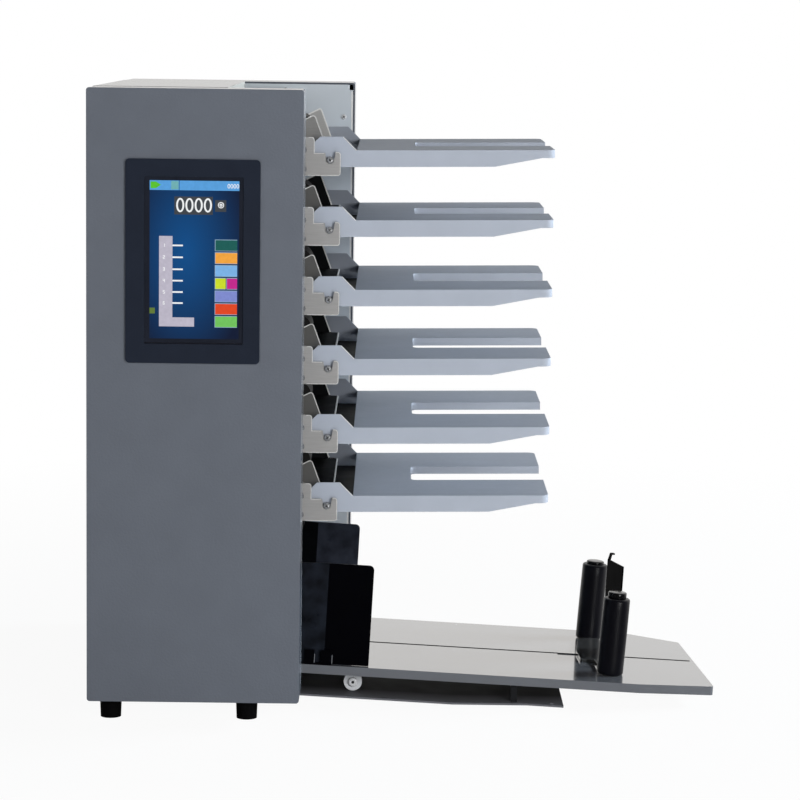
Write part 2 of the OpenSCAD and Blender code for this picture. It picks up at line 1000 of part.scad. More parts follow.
module feed_roller(k)
    color("darkgray")
        place() {
            x = pivot_x + feed_x;
            z = bin_z(k) + feed_z;
            y0 = frame_y - shaft_end;
            rod_y(x, z, y0, rear_frame_y + frame_t + shaft_in_motor - y0, shaft_r);
            rod_y(x, z, paper_y - feed_w / 2, feed_w, feed_r);
        }

module feed_motors()
    color("dimgray")
        place()
            for (k = [1 : bin_count]) {
                x = pivot_x + feed_x;
                z = bin_z(k) + feed_z;
                y = rear_frame_y + frame_t + bush_flange_t;
                difference() {
                    union() {
                        rod_y(x, z, y, motor_collar_t + cut, motor_collar_r);
                        box(
                            x - motor_box / 2, y + motor_collar_t, z - motor_box / 2,
                            x + motor_box / 2, y + motor_collar_t + motor_len, z + motor_box / 2
                        );
                    }
                    rod_y(x, z, y - cut, shaft_in_motor + cut, shaft_r + run_fit);
                }
            }

module bush(x, z, y0, flange_y)
    difference() {
        union() {
            rod_y(x, z, min(y0, flange_y), frame_t + bush_flange_t, bush_r);
            rod_y(x, z, flange_y, bush_flange_t, bush_flange_r);
        }
        rod_y(x, z, y0 - bush_flange_t - cut, frame_t + 2 * bush_flange_t + 2 * cut, shaft_r + run_fit);
    }

module shaft_bushes()
    color("goldenrod")
        place()
            for (s = shafts()) {
                bush(s[0], s[1], frame_y, frame_y - bush_flange_t);
                bush(s[0], s[1], rear_frame_y, rear_frame_y + frame_t);
            }

// Paper chute and drive

module tyre_windows(x, z, r)
    for (i = [-1, 1])
        box(
            x - r - window_room, paper_y + i * tyre_y - tyre_w / 2 - window_room, z - r - window_room,
            x + r + window_room, paper_y + i * tyre_y + tyre_w / 2 + window_room, z + r + window_room
        );

module paper_chute()
    color("gainsboro")
        place() {
            curve_x = chute_left + sheet_t + curve_r;
            curve_z = exit_nip_z + curve_r;
            difference() {
                union() {
                    box(
                        chute_left, bay_y, curve_z,
                        chute_left + sheet_t, rear_frame_y, bin_z(1) + chute_top
                    );
                    along_y(bay_y, bay_d)
                        translate([curve_x, curve_z])
                            intersection() {
                                difference() {
                                    circle(curve_r + sheet_t, $fn = 96);
                                    circle(curve_r, $fn = 96);
                                }
                                polygon([
                                    [0, 0], [0, cut], [-2 * curve_r, cut], [-2 * curve_r, -2 * curve_r],
                                    [-2 * curve_r * cos(curve_angle), -2 * curve_r * sin(curve_angle)]
                                ]);
                            }
                }
                tyre_windows(transport_x, transport_z, drive_r);
            }
            difference() {
                for (k = [1 : bin_count])
                    box(
                        chute_right, bay_y, bin_z(k) + strip_low,
                        chute_right + sheet_t, rear_frame_y, bin_z(k) + strip_high
                    );
                tyre_windows(transport_pinch_x, transport_z, pinch_r);
            }
        }

module roller_shaft(x, z, r, y0)
    union() {
        rod_y(x, z, y0, rear_frame_y + frame_t + shaft_end - y0, shaft_r);
        for (i = [-1, 1])
            rod_y(x, z, paper_y + i * tyre_y - tyre_w / 2, tyre_w, r);
    }

module pulley(x, z, r) {
    rod_y(x, z, pulley_y, pulley_w, r);
    for (y = [pulley_y - pulley_rim_t, pulley_y + pulley_w])
        rod_y(x, z, y, pulley_rim_t, r + pulley_rim);
}

module transport_roller()
    color("dimgray")
        place() {
            roller_shaft(transport_x, transport_z, drive_r, pulley_y);
            pulley(transport_x, transport_z, pulley_r);
        }

module transport_pinch()
    color("white")
        place()
            roller_shaft(transport_pinch_x, transport_z, pinch_r, frame_y - shaft_end);

module exit_roller()
    color("dimgray")
        place() {
            roller_shaft(exit_x, exit_z, drive_r, pulley_y);
            pulley(exit_x, exit_z, pulley_r);
        }

module exit_pinch()
    color("white")
        place()
            roller_shaft(exit_x, exit_pinch_z, pinch_r, frame_y - shaft_end);

module motor_pulley()
    color("silver")
        place() {
            rod_y(
                main_motor_x, main_motor_z, pulley_y,
                bay_y + main_motor_bore - main_motor_room - pulley_y, shaft_r
            );
            pulley(main_motor_x, main_motor_z, motor_pulley_r);
        }

module drive_motor()
    color("darkgray")
        place()
            difference() {
                rod_y(main_motor_x, main_motor_z, bay_y, main_motor_len, main_motor_r);
                rod_y(main_motor_x, main_motor_z, bay_y - cut, main_motor_bore + cut, shaft_r + run_fit);
            }

module belt_loop(grow)
    hull() {
        translate([main_motor_x, main_motor_z])
            circle(motor_pulley_r + grow);
        translate([transport_x, transport_z])
            circle(pulley_r + grow);
        translate([exit_x, exit_z])
            circle(pulley_r + grow);
    }

module drive_belt()
    color("black")
        place()
            along_y(pulley_y + gap, pulley_w - 2 * gap)
                difference() {
                    belt_loop(gap + belt_t);
                    belt_loop(gap);
                }

// Receiving tray

// Corners of the receiving tray's plan, going round from the left end's near corner
function stack_plan() = [
    [stack_left, stack_near],
    [stack_len - taper_back, stack_near],
    [stack_len, stack_near + near_tip_in],
    [stack_len - tip_far_back, stack_far - far_tip_in],
    [stack_len - chamfer_back, stack_far],
    [stack_left, stack_far]
];

module receiving_tray()
    color("lightgray")
        place()
            on_stack() {
                difference() {
                    translate([0, 0, -stack_rim])
                        linear_extrude(stack_rim)
                            round_plan(stack_plan(), stack_r);
                    translate([0, 0, -stack_rim - cut])
                        linear_extrude(stack_rim - stack_t + cut)
                            round_plan(inset_plan(stack_plan(), stack_t), stack_r - stack_t);
                    box(
                        slot_from, paper_y - stop_slot_w / 2, -stack_rim,
                        stack_len - tip_far_back / 2 - slot_end_in, paper_y + stop_slot_w / 2, cut
                    );
                    guide_slot();
                    translate([0, 2 * paper_y, 0])
                        mirror([0, 1, 0])
                            translate([guide_rear_shift, 0, 0])
                                guide_slot();
                }
                for (y = [roller_y + roller_w + gap, 2 * paper_y - roller_y - roller_w - gap - axle_ear_t])
                    difference() {
                        along_y(y, axle_ear_t)
                            union() {
                                translate([axle_u, axle_w])
                                    circle(axle_ear);
                                translate([axle_u - axle_ear, axle_w])
                                    square([2 * axle_ear, -axle_w - stack_t / 2]);
                            }
                        rod_y(axle_u, axle_w, y - cut, axle_ear_t + 2 * cut, axle_r + run_fit);
                    }
            }

// Slot across the tray in which a side guide's stud runs
module guide_slot() {
    y0 = stack_near + guide_in + guide_stud_in;
    for (y = [y0, y0 + guide_travel])
        translate([guide_stud_u, y, -stack_rim])
            cylinder(h = stack_rim + cut, r = guide_stud_r + gap);
    box(
        guide_stud_u - guide_stud_r - gap, y0, -stack_rim,
        guide_stud_u + guide_stud_r + gap, y0 + guide_travel, cut
    );
}

module tray_axle()
    color("silver")
        place()
            on_stack() {
                rod_y(
                    axle_u, axle_w, roller_y - gap - axle_head_t / 2,
                    2 * (paper_y - roller_y + gap) + axle_head_t, axle_r
                );
                for (y = [roller_y - gap - axle_head_t, 2 * paper_y - roller_y + gap])
                    rod_y(axle_u, axle_w, y, axle_head_t, axle_head_r);
            }

module tray_roller(y)
    color("white")
        place()
            on_stack()
                difference() {
                    rod_y(axle_u, axle_w, y, roller_w, roller_r);
                    rod_y(axle_u, axle_w, y - cut, roller_w + 2 * cut, axle_r + run_fit);
                }

// A side guide at the front; its left part flares out to take in the sheets
module side_guide() {
    y0 = stack_near + guide_in;
    difference() {
        translate([0, 0, gap])
            linear_extrude(guide_h - gap)
                polygon([
                    [guide_left, y0 - guide_flare], [guide_bend, y0], [guide_right, y0],
                    [guide_right, y0 + guide_t], [guide_bend, y0 + guide_t],
                    [guide_left, y0 - guide_flare + guide_t]
                ]);
        along_y(y0 - cut, guide_t + 2 * cut)
            corner_cut(guide_right, guide_h, guide_r, -1, -1);
    }
    box(
        guide_tabs[0][0], y0 - guide_foot, gap,
        guide_tabs[1][0] + guide_tabs[1][1], y0 + guide_t / 2, gap + guide_t
    );
    box(
        guide_stud_u - guide_inner_len / 2, y0 - guide_flare / 2, gap,
        guide_stud_u + guide_inner_len / 2, y0 + guide_t + guide_inner_foot, gap + guide_t
    );
    for (t = guide_tabs)
        box(t[0], y0 - guide_foot, gap, t[0] + t[1], y0 - guide_foot + guide_t, guide_tab_h);
    translate([guide_stud_u, y0 + guide_stud_in, -stack_t - gap - guide_nut_t])
        cylinder(h = stack_t + 2 * gap + guide_nut_t + guide_t / 2, r = guide_stud_r);
    translate([guide_stud_u, y0 + guide_stud_in, -stack_t - gap - guide_nut_t])
        cylinder(h = guide_nut_t, r = guide_nut_r);
}

module side_guide_front()
    color("black")
        place()
            on_stack()
                side_guide();

module side_guide_rear()
    color("black")
        place()
            on_stack()
                to_far()
                    translate([guide_rear_shift, 0, 0])
                        side_guide();

// Paper stop

module at_stop()
    place()
        on_stack()
            translate([stop_u, paper_y, 0])
                children();

// The plate that carries the posts and the back, with its round corner at the near left
module stop_plate()
    translate([0, 0, gap])
        linear_extrude(stop_t) {
            rotate(stop_yaw) {
                polygon([
                    [-stop_nose, -stop_near + stop_corner_r], [-stop_nose + stop_corner_r, -stop_near],
                    [-stop_side, -stop_near], [-stop_side, -stop_wing], [stop_side, -stop_wing],
                    [stop_side, stop_wing], [-stop_side, stop_wing], [-stop_nose, stop_nose_w / 2]
                ]);
                translate([-stop_nose + stop_corner_r, -stop_near + stop_corner_r])
                    circle(stop_corner_r);
            }
            translate([back_u, 0])
                rotate(back_yaw)
                    translate([-back_foot_room, -back_w / 2])
                        square([back_foot + back_foot_room, back_w]);
        }

module stop_base()
    color("silver")
        at_stop() {
            stop_plate();
            box(
                -stop_nose - stop_tongue, -stop_tongue_w / 2, gap,
                -stop_nose + stop_nose_w, stop_tongue_w / 2, gap + stop_tongue_t
            );
            box(
                -stop_keel_len / 2, -stop_slot_w / 2 + gap, -stop_keel,
                stop_keel_len / 2, stop_slot_w / 2 - gap, gap + stop_t / 2
            );
            box(
                -stop_keel_len / 2, -stop_clamp_w / 2, -stack_t - gap - stop_clamp_t,
                stop_keel_len / 2, stop_clamp_w / 2, -stack_t - gap
            );
        }

// A foam sleeve with its end cap; near and far posts end at the same height
module foam_post(cap_h) {
    sleeve = post_h + cap_near - cap_h;
    translate([0, 0, -cut])
        cylinder(h = sleeve + cut, r = post_r);
    translate([0, 0, sleeve - cut])
        cylinder(h = cap_h + cut, r = cap_r);
}

module stop_posts()
    color("black")
        at_stop()
            difference() {
                rotate([0, 0, stop_yaw])
                    for (side = [-1, 1])
                        translate([0, side * stop_half, gap])
                            rotate([0, post_lean, 0])
                                foam_post(side < 0 ? cap_near : cap_far);
                box(-stop_wing, -2 * stop_wing, gap - 2 * post_r, stop_wing, 2 * stop_wing, gap);
                stop_plate();
            }

module stop_back()
    color("black")
        at_stop()
            translate([back_u, 0, gap + stop_t])
                rotate([0, 0, back_yaw]) {
                    along_y(-back_w / 2, back_w)
                        polygon([
                            [0, 0], [back_foot, 0], [back_foot, back_t], [back_t, back_t],
                            [back_t, back_h], [0, back_h]
                        ]);
                    along_y(back_w / 2 - back_lip, back_lip)
                        polygon([
                            [0, back_h - cut], [back_t, back_h - cut],
                            [back_curl, back_h + back_tip - back_t],
                            [2 * back_curl, back_h + back_tip - back_t], [2 * back_curl, back_h + back_tip],
                            [back_curl - back_t / 2, back_h + back_tip]
                        ]);
                }

// Ramp

module tray_ramp()
    color("black")
        place()
            difference() {
                union() {
                    along_y(ramp_near, ramp_w)
                        polygon([
                            [ramp_left, ramp_line(ramp_left) - ramp_t], [ramp_bend, 0], [ramp_right, 0],
                            [ramp_right, ramp_t], [ramp_bend, ramp_t],
                            [ramp_left + ramp_flange_t, ramp_line(ramp_left + ramp_flange_t)],
                            [ramp_left + ramp_flange_t, pan_z], [ramp_left, pan_z]
                        ]);
                    linear_extrude(ramp_t)
                        polygon([
                            [ramp_right - ramp_toe_len, ramp_near + cut], [ramp_right, ramp_near + cut],
                            [ramp_right, ramp_near - ramp_toe], [ramp_right - ramp_toe_len, ramp_near]
                        ]);
                }
                translate([ramp_right - ramp_hole_in, ramp_near, -cut])
                    cylinder(h = ramp_t + 2 * cut, r = ramp_hole_r);
            }

module ramp_glides()
    color("dimgray")
        place() {
            under = (stack_t + gap) / cos(stack_tilt);
            x0 = glide_x;
            x1 = glide_x + glide_len;
            for (y = [stack_near + glide_in, stack_far - glide_in - glide_w])
                along_y(y, glide_w)
                    polygon([
                        [x0, ramp_surface(x0)], [x1, ramp_surface(x1)],
                        [x1, stack_top(x1) - under], [x0, stack_top(x0) - under]
                    ]);
        }

// Side door

module side_door()
    color("slategray")
        place() {
            difference() {
                box(0, bay_y + door_gap, door_z, door_t, rear_frame_y - door_end_back, door_z + door_h);
                for (z = [door_z + door_hinge_in, door_z + door_h - door_hinge_in])
                    box(
                        -cut, door_axis_y - door_barrel_r - door_notch, z - door_lug_t - 2 * gap,
                        door_t + cut, rear_frame_y, z
                    );
            }
            for (z = [door_z + door_hinge_in, door_z + door_h - door_hinge_in])
                difference() {
                    union() {
                        translate([door_axis_in, door_axis_y, z])
                            cylinder(h = door_barrel_h, r = door_barrel_r);
                        box(
                            door_t / 2, door_axis_y - door_barrel_r, z,
                            door_axis_in, door_axis_y + door_barrel_r, z + door_barrel_h
                        );
                    }
                    translate([door_axis_in, door_axis_y, z - cut])
                        cylinder(h = door_barrel_h + 2 * cut, r = door_pin_r + run_fit);
                }
        }

base_pan();
front_frame();
rear_frame();
tie_bars();
front_cover();
rear_cover();
top_cover();
screen_bezel();
touch_glass();
display_module();
control_board();
power_supply();
power_inlet();
rubber_feet();
hook_brackets();
feed_heads();
feed_decks();
separator_pads();
paper_chute();
shaft_bushes();
feed_motors();
drive_motor();
drive_belt();
tray_ramp();
ramp_glides();
bin_tray(1);  // bin_tray_1
bin_tray(2);  // bin_tray_2
bin_tray(3);  // bin_tray_3
bin_tray(4);  // bin_tray_4
bin_tray(5);  // bin_tray_5
bin_tray(6);  // bin_tray_6
tray_pivots(1);  // tray_pivots_1
tray_pivots(2);  // tray_pivots_2
tray_pivots(3);  // tray_pivots_3
tray_pivots(4);  // tray_pivots_4
tray_pivots(5);  // tray_pivots_5
tray_pivots(6);  // tray_pivots_6
feed_roller(1);  // feed_roller_1
feed_roller(2);  // feed_roller_2
feed_roller(3);  // feed_roller_3
feed_roller(4);  // feed_roller_4
feed_roller(5);  // feed_roller_5
feed_roller(6);  // feed_roller_6
motor_pulley();
transport_roller();
transport_pinch();
exit_roller();
exit_pinch();
receiving_tray();
tray_axle();
tray_roller(roller_y);  // tray_roller_front
tray_roller(2 * paper_y - roller_y - roller_w);  // tray_roller_rear
side_guide_front();
side_guide_rear();
stop_base();
stop_posts();
stop_back();
side_door();
power_rocker();
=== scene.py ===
"""Looks of the six-bin collating tower: materials, screen, foam posts, fasteners, light and camera."""

import json
import math

import bmesh
import bpy
from mathutils import Matrix, Vector


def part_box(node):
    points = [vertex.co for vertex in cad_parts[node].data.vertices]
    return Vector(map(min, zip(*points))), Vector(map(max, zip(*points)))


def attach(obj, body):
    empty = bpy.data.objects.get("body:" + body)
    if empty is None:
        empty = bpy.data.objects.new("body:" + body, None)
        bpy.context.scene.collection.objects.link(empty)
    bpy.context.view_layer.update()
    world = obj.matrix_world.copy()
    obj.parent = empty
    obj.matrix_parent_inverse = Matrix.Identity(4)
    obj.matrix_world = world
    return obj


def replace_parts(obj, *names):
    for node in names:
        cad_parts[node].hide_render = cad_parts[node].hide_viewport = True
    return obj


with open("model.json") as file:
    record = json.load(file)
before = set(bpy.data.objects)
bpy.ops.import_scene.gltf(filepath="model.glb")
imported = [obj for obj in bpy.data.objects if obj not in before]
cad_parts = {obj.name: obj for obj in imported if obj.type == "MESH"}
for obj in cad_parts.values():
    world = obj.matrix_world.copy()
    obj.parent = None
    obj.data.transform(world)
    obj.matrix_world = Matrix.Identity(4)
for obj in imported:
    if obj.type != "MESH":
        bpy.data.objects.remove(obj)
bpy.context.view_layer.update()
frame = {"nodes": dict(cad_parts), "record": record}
NODES = frame["nodes"]
scene = bpy.context.scene
scene.view_settings.view_transform = "Standard"

# Machine coordinates in millimetres: X from the front cover's left side, Y back from its face,
# Z up from the table
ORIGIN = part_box("front_cover")[0]
MM = 0.001


def at(x, y, z):
    """A point in machine millimetres as a point of the shared frame in metres."""
    return Vector((ORIGIN.x + x * MM, ORIGIN.y + y * MM, z * MM))


def machine_box(node):
    """The low and the high corner of a node's box, in machine millimetres."""
    return [(corner - at(0, 0, 0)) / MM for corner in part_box(node)]


# Camera: its place in machine millimetres, its angles in degrees, its focal length and frame in
# pixels, its sensor in millimetres and its reach in metres

CAMERA_AT = (295.34, -2735.0, 685.78)
CAMERA_YAW, CAMERA_PITCH, CAMERA_ROLL = (math.radians(a) for a in (0.23, 7.48, 0.76))
FOCAL_PX, FRAME_PX, SENSOR, REACH = 2824.41, 800, 36.0, 60


def make_camera():
    data = bpy.data.cameras.new("camera")
    data.sensor_width = SENSOR
    data.lens = FOCAL_PX / FRAME_PX * SENSOR
    data.clip_end = REACH
    cam = bpy.data.objects.new("camera", data)
    scene.collection.objects.link(cam)
    cos_p = math.cos(CAMERA_PITCH)
    ahead = Vector((
        math.sin(CAMERA_YAW) * cos_p,
        math.cos(CAMERA_YAW) * cos_p,
        -math.sin(CAMERA_PITCH),
    ))
    right = Vector((math.cos(CAMERA_YAW), -math.sin(CAMERA_YAW), 0))
    up = right.cross(ahead)
    c, s = math.cos(CAMERA_ROLL), math.sin(CAMERA_ROLL)
    turn = Matrix((right * c + up * s, up * c - right * s, -ahead)).transposed()
    cam.matrix_world = Matrix.Translation(at(*CAMERA_AT)) @ turn.to_4x4()
    scene.camera = cam


make_camera()


# Values in node trees


def combine(tree, operation, *values):
    """Joins values of a node tree with one operation, two by two."""
    found = values[0]
    for value in values[1:]:
        node = tree.nodes.new("ShaderNodeMath")
        node.operation = operation
        tree.links.new(found, node.inputs[0])
        tree.links.new(value, node.inputs[1])
        found = node.outputs[0]
    return found


def along(tree, vector, axis):
    """One of a vector's three values."""
    split = tree.nodes.new("ShaderNodeSeparateXYZ")
    tree.links.new(vector, split.inputs[0])
    return split.outputs[axis]


def ranged(tree, source, low, high, start, stop):
    """source, from start to stop, spread from low to high."""
    node = tree.nodes.new("ShaderNodeMapRange")
    for key, value in (("From Min", start), ("From Max", stop), ("To Min", low), ("To Max", high)):
        node.inputs[key].default_value = value
    tree.links.new(source, node.inputs["Value"])
    return node.outputs["Result"]


# Materials


def srgb(r, g, b):
    """An 8-bit display colour as a linear colour."""
    def one(v):
        v /= 255
        return v / 12.92 if v <= 0.04045 else ((v + 0.055) / 1.055) ** 2.4
    return (one(r), one(g), one(b), 1.0)


def shade(colour, factor):
    """A colour made darker or lighter."""
    return tuple(min(1, v * factor) for v in colour[:3]) + (colour[3],)


# How far a face has to look along an axis before it counts, and before it counts in full: for flat
# faces, and for the guides' faces, which only lean towards the axis or away from it
LEVEL, LEANING, LEANING_AWAY = (0.8, 0.95), (0.05, 0.13), (-0.05, -0.13)
# How far a slot's wall has to turn towards an axis before it counts in full
SLOT_WALL = 0.5
# What is left of the grain where paint is worn smooth, the least roughness, and the bevel's samples
WORN_GRAIN, SMOOTHEST, BEVEL_SAMPLES = 0.1, 0.02, 4
DARK_GLASS = (0.008, 0.009, 0.012, 1)
WARM_WHITE = (1.0, 0.985, 0.965, 1)
COOL_SHEEN = (0.78, 0.9, 1, 1)


class Surface:
    """A material with a Principled shader, and short ways to add detail to it; sizes in millimetres."""

    def __init__(self, name, colour, rough, metal=0.0, bevel=0.4):
        self.name = name
        self.mat = bpy.data.materials.new(name)
        self.mat.use_nodes = True
        self.tree = self.mat.node_tree
        self.shader = self.tree.nodes["Principled BSDF"]
        self.colour, self.rough = colour, rough
        self.set("Base Color", colour)
        self.set("Roughness", rough)
        self.set("Metallic", metal)
        self.place = self.add("ShaderNodeTexCoord").outputs["Object"]
        self.normal = None
        if bevel:
            edge = self.add("ShaderNodeBevel")
            edge.samples = BEVEL_SAMPLES
            edge.inputs["Radius"].default_value = bevel * MM
            self.normal = edge.outputs["Normal"]
            self.link(self.normal, self.shader.inputs["Normal"])

    def add(self, kind):
        return self.tree.nodes.new(kind)

    def link(self, a, b):
        self.tree.links.new(a, b)

    def set(self, name, value):
        self.shader.inputs[name].default_value = value
        return self

    def shine(self, level):
        return self.set("Specular IOR Level", level)

    def moved(self, scale, offset=(0, 0, 0)):
        """The place on the piece, scaled and then moved."""
        node = self.add("ShaderNodeMapping")
        node.inputs["Scale"].default_value = scale
        node.inputs["Location"].default_value = offset
        self.link(self.place, node.inputs["Vector"])
        return node.outputs["Vector"]

    def noise(self, size, detail=2.0, stretch=(1, 1, 1)):
        """Noise whose features are about size across."""
        tex = self.add("ShaderNodeTexNoise")
        tex.inputs["Scale"].default_value = 1 / (size * MM)
        tex.inputs["Detail"].default_value = detail
        self.link(self.moved(stretch), tex.inputs["Vector"])
        return tex.outputs["Fac"]

    def spread(self, source, low, high, start=0.3, stop=0.7):
        return ranged(self.tree, source, low, high, start, stop)

    def blend(self, share, low, high):
        """A colour between two, by share."""
        mix = self.add("ShaderNodeMix")
        mix.data_type = "RGBA"
        for key, value in (("A", low), ("B", high)):
            socket = next(s for s in mix.inputs if s.name == key and s.type == "RGBA")
            if isinstance(value, tuple):
                socket.default_value = value
            else:
                self.link(value, socket)
        self.link(share, mix.inputs["Factor"])
        return next(s for s in mix.outputs if s.type == "RGBA")

    def paint(self, out):
        self.tint = out
        self.link(out, self.shader.inputs["Base Color"])
        return self

    def painted_over(self, share, colour):
        """Another colour on top, by share."""
        return self.paint(self.blend(share, self.tint, colour))

    def mottle(self, size, amount, stretch=(1, 1, 1)):
        """Lightens and darkens the colour by up to amount."""
        share = self.spread(self.noise(size, detail=3.0, stretch=stretch), 0, 1)
        low, high = (shade(self.colour, 1 + change) for change in (-amount, amount))
        return self.paint(self.blend(share, low, high))

    def uneven(self, size, amount, stretch=(1, 1, 1)):
        """Varies the roughness by up to amount."""
        low, high = max(SMOOTHEST, self.rough - amount), min(1, self.rough + amount)
        out = self.spread(self.noise(size, stretch=stretch), low, high)
        self.link(out, self.shader.inputs["Roughness"])
        return self

    def grain(self, size, height, detail=2.0, stretch=(1, 1, 1)):
        """Raises the surface by about height, with features of the given size."""
        self.bump = self.add("ShaderNodeBump")
        self.bump.inputs["Distance"].default_value = height * MM
        self.bump.inputs["Strength"].default_value = 1.0
        self.link(self.noise(size, detail, stretch), self.bump.inputs["Height"])
        if self.normal:
            self.link(self.normal, self.bump.inputs["Normal"])
        self.normal = self.bump.outputs["Normal"]
        self.link(self.normal, self.shader.inputs["Normal"])
        return self

    def facing(self, axis, start, stop):
        """From 0 to 1 as the face turns towards an axis."""
        normal = self.add("ShaderNodeNewGeometry").outputs["Normal"]
        return self.spread(along(self.tree, normal, axis), 0, 1, start, stop)

    def noise_blend(self, low, high):
        """A colour that wanders between two with noise; the guides use it for painted light."""
        share = self.spread(self.noise(size=16, detail=4), 0, 1, start=0.35, stop=0.65)
        return self.blend(share, low, high)

    def noise_painted(self, low, high):
        return self.paint(self.noise_blend(low, high))

    def faced(self, colour, axis, start, stop):
        """Another colour, or two to wander between, on the faces that turn towards an axis."""
        colour = self.noise_blend(*colour) if isinstance(colour, list) else colour
        return self.painted_over(self.facing(axis, start, stop), colour)

    def deepened(self, colour, start, stop):
        """Goes over to another colour from one machine Y to another."""
        depth = along(self.tree, self.place, "Y")
        share = self.spread(depth, 0, 1, at(0, start, 0).y, at(0, stop, 0).y)
        return self.painted_over(share, colour)

    def worn_smooth(self, rough, axes):
        """Makes the faces that look along any of the axes smoother than the rest."""
        flat = combine(self.tree, "MAXIMUM", *(self.facing(axis, *LEVEL) for axis in axes))
        self.link(self.spread(flat, 1, WORN_GRAIN, 0, 1), self.bump.inputs["Strength"])
        self.link(self.spread(flat, self.rough, rough, 0, 1), self.shader.inputs["Roughness"])
        return self

    def within(self, axis, low, high):
        """1 between two machine places on the Y or Z axis, and 0 elsewhere."""
        middle = (low + high) / 2
        near = self.add("ShaderNodeMath")
        near.operation = "COMPARE"
        near.inputs[1].default_value = getattr(at(0, middle, middle), axis.lower())
        near.inputs[2].default_value = (high - low) / 2 * MM
        self.link(along(self.tree, self.place, axis), near.inputs[0])
        return near.outputs[0]

    def tyres(self, colour, bands, rough):
        """Another colour on a metal shaft in bands along Y, each from and to a machine Y."""
        found = combine(self.tree, "MAXIMUM", *(self.within("Y", *band) for band in bands))
        self.painted_over(found, colour)
        self.link(self.spread(found, self.rough, rough, 0, 1), self.shader.inputs["Roughness"])
        self.link(self.spread(found, 1, 0, 0, 1), self.shader.inputs["Metallic"])
        return self

    def boxed(self, colour, depth, height):
        """Another colour in a range of machine Y and a range of height."""
        share = combine(self.tree, "MULTIPLY", self.within("Y", *depth), self.within("Z", *height))
        return self.painted_over(share, colour)

    def slot_walls_shaded(self, colour, low, high):
        """Another colour on the upright faces of a slot along X, between two machine Y; here a dark one,
        as painted shade inside the slot.
        """
        for way in (SLOT_WALL, -SLOT_WALL):
            walls = (self.facing("Y", 0, way), self.within("Y", low, high))
            self.painted_over(combine(self.tree, "MULTIPLY", *walls), colour)
        return self

    def glow(self, strength):
        """Gives off its colour through dark glass."""
        base = self.shader.inputs["Base Color"]
        self.tree.links.remove(base.links[0])
        base.default_value = DARK_GLASS
        self.link(self.tint, self.shader.inputs["Emission Color"])
        return self.set("Emission Strength", strength).shine(0.05)


def powder_coat(name, colour, rough, size=0.9, height=0.05):
    made = Surface(name, colour, rough).mottle(size=35, amount=0.03)
    return made.uneven(size=6, amount=0.05).grain(size, height)


def smooth_paint(name, colour, rough):
    made = Surface(name, colour, rough).mottle(size=60, amount=0.025)
    return made.uneven(size=25, amount=0.03).grain(size=2.5, height=0.004)


def brushed(name, colour, rough, metal=1.0):
    """Sheet metal with fine lines along X."""
    lines = (0.04, 1, 1)
    made = Surface(name, colour, rough, metal, bevel=0.6).mottle(size=0.5, amount=0.06, stretch=lines)
    return made.uneven(size=0.6, amount=0.08, stretch=lines).grain(size=0.3, height=0.004, stretch=lines)


def turned(name, colour, rough, metal=1.0):
    made = Surface(name, colour, rough, metal)
    return made.mottle(size=1.5, amount=0.1).uneven(size=1, amount=0.08)


def plastic(name, colour, rough, shine=0.5):
    made = Surface(name, colour, rough).mottle(size=20, amount=0.05).uneven(size=4, amount=0.05)
    return made.grain(size=0.35, height=0.006).shine(shine)


def rubber(name, colour):
    made = Surface(name, colour, rough=0.75).mottle(size=8, amount=0.15).uneven(size=2, amount=0.1)
    return made.grain(size=0.4, height=0.02).shine(0.1)


def roller(name, colour, bands):
    """Rubber or plastic tyres on a steel shaft."""
    return turned(name, srgb(170, 170, 172), rough=0.3).tyres(colour, bands, rough=0.7)


def cover_coat(name, axes):
    """The coarse grey coat of the covers, smoother on the faces that look along the axes."""
    coat = powder_coat(name, srgb(96, 101, 110), rough=0.5, size=2.2, height=0.3)
    return coat.worn_smooth(0.17, axes)


# Middle of the paper's way, and bands and ranges of machine Y and Z in which a colour changes:
# the tyres' bands, ranges of painted light and shade on the ears, the ramp and the slot, and the
# guides' painted light
PAPER_Y = 218.0
FEED_HALF, TYRE_Y, TYRE_HALF, SLOT_REACH = 30, 55, 15, 2
FEED_BAND = [(PAPER_Y - FEED_HALF, PAPER_Y + FEED_HALF)]
TYRE_BANDS = [
    (PAPER_Y + side * TYRE_Y - TYRE_HALF, PAPER_Y + side * TYRE_Y + TYRE_HALF) for side in (-1, 1)
]
NEAR_EARS, FAR_EARS = (0, 300), (300, 345)
LOW_EARS, TOP_EARS = (100, 541), (541, 700)
RAMP_SHADE = (96, 132)
LIT_FLARE = [srgb(13, 15, 20), srgb(27, 31, 39)]
LIT_REAR_GUIDE = [srgb(35, 37, 45), srgb(50, 54, 64)]

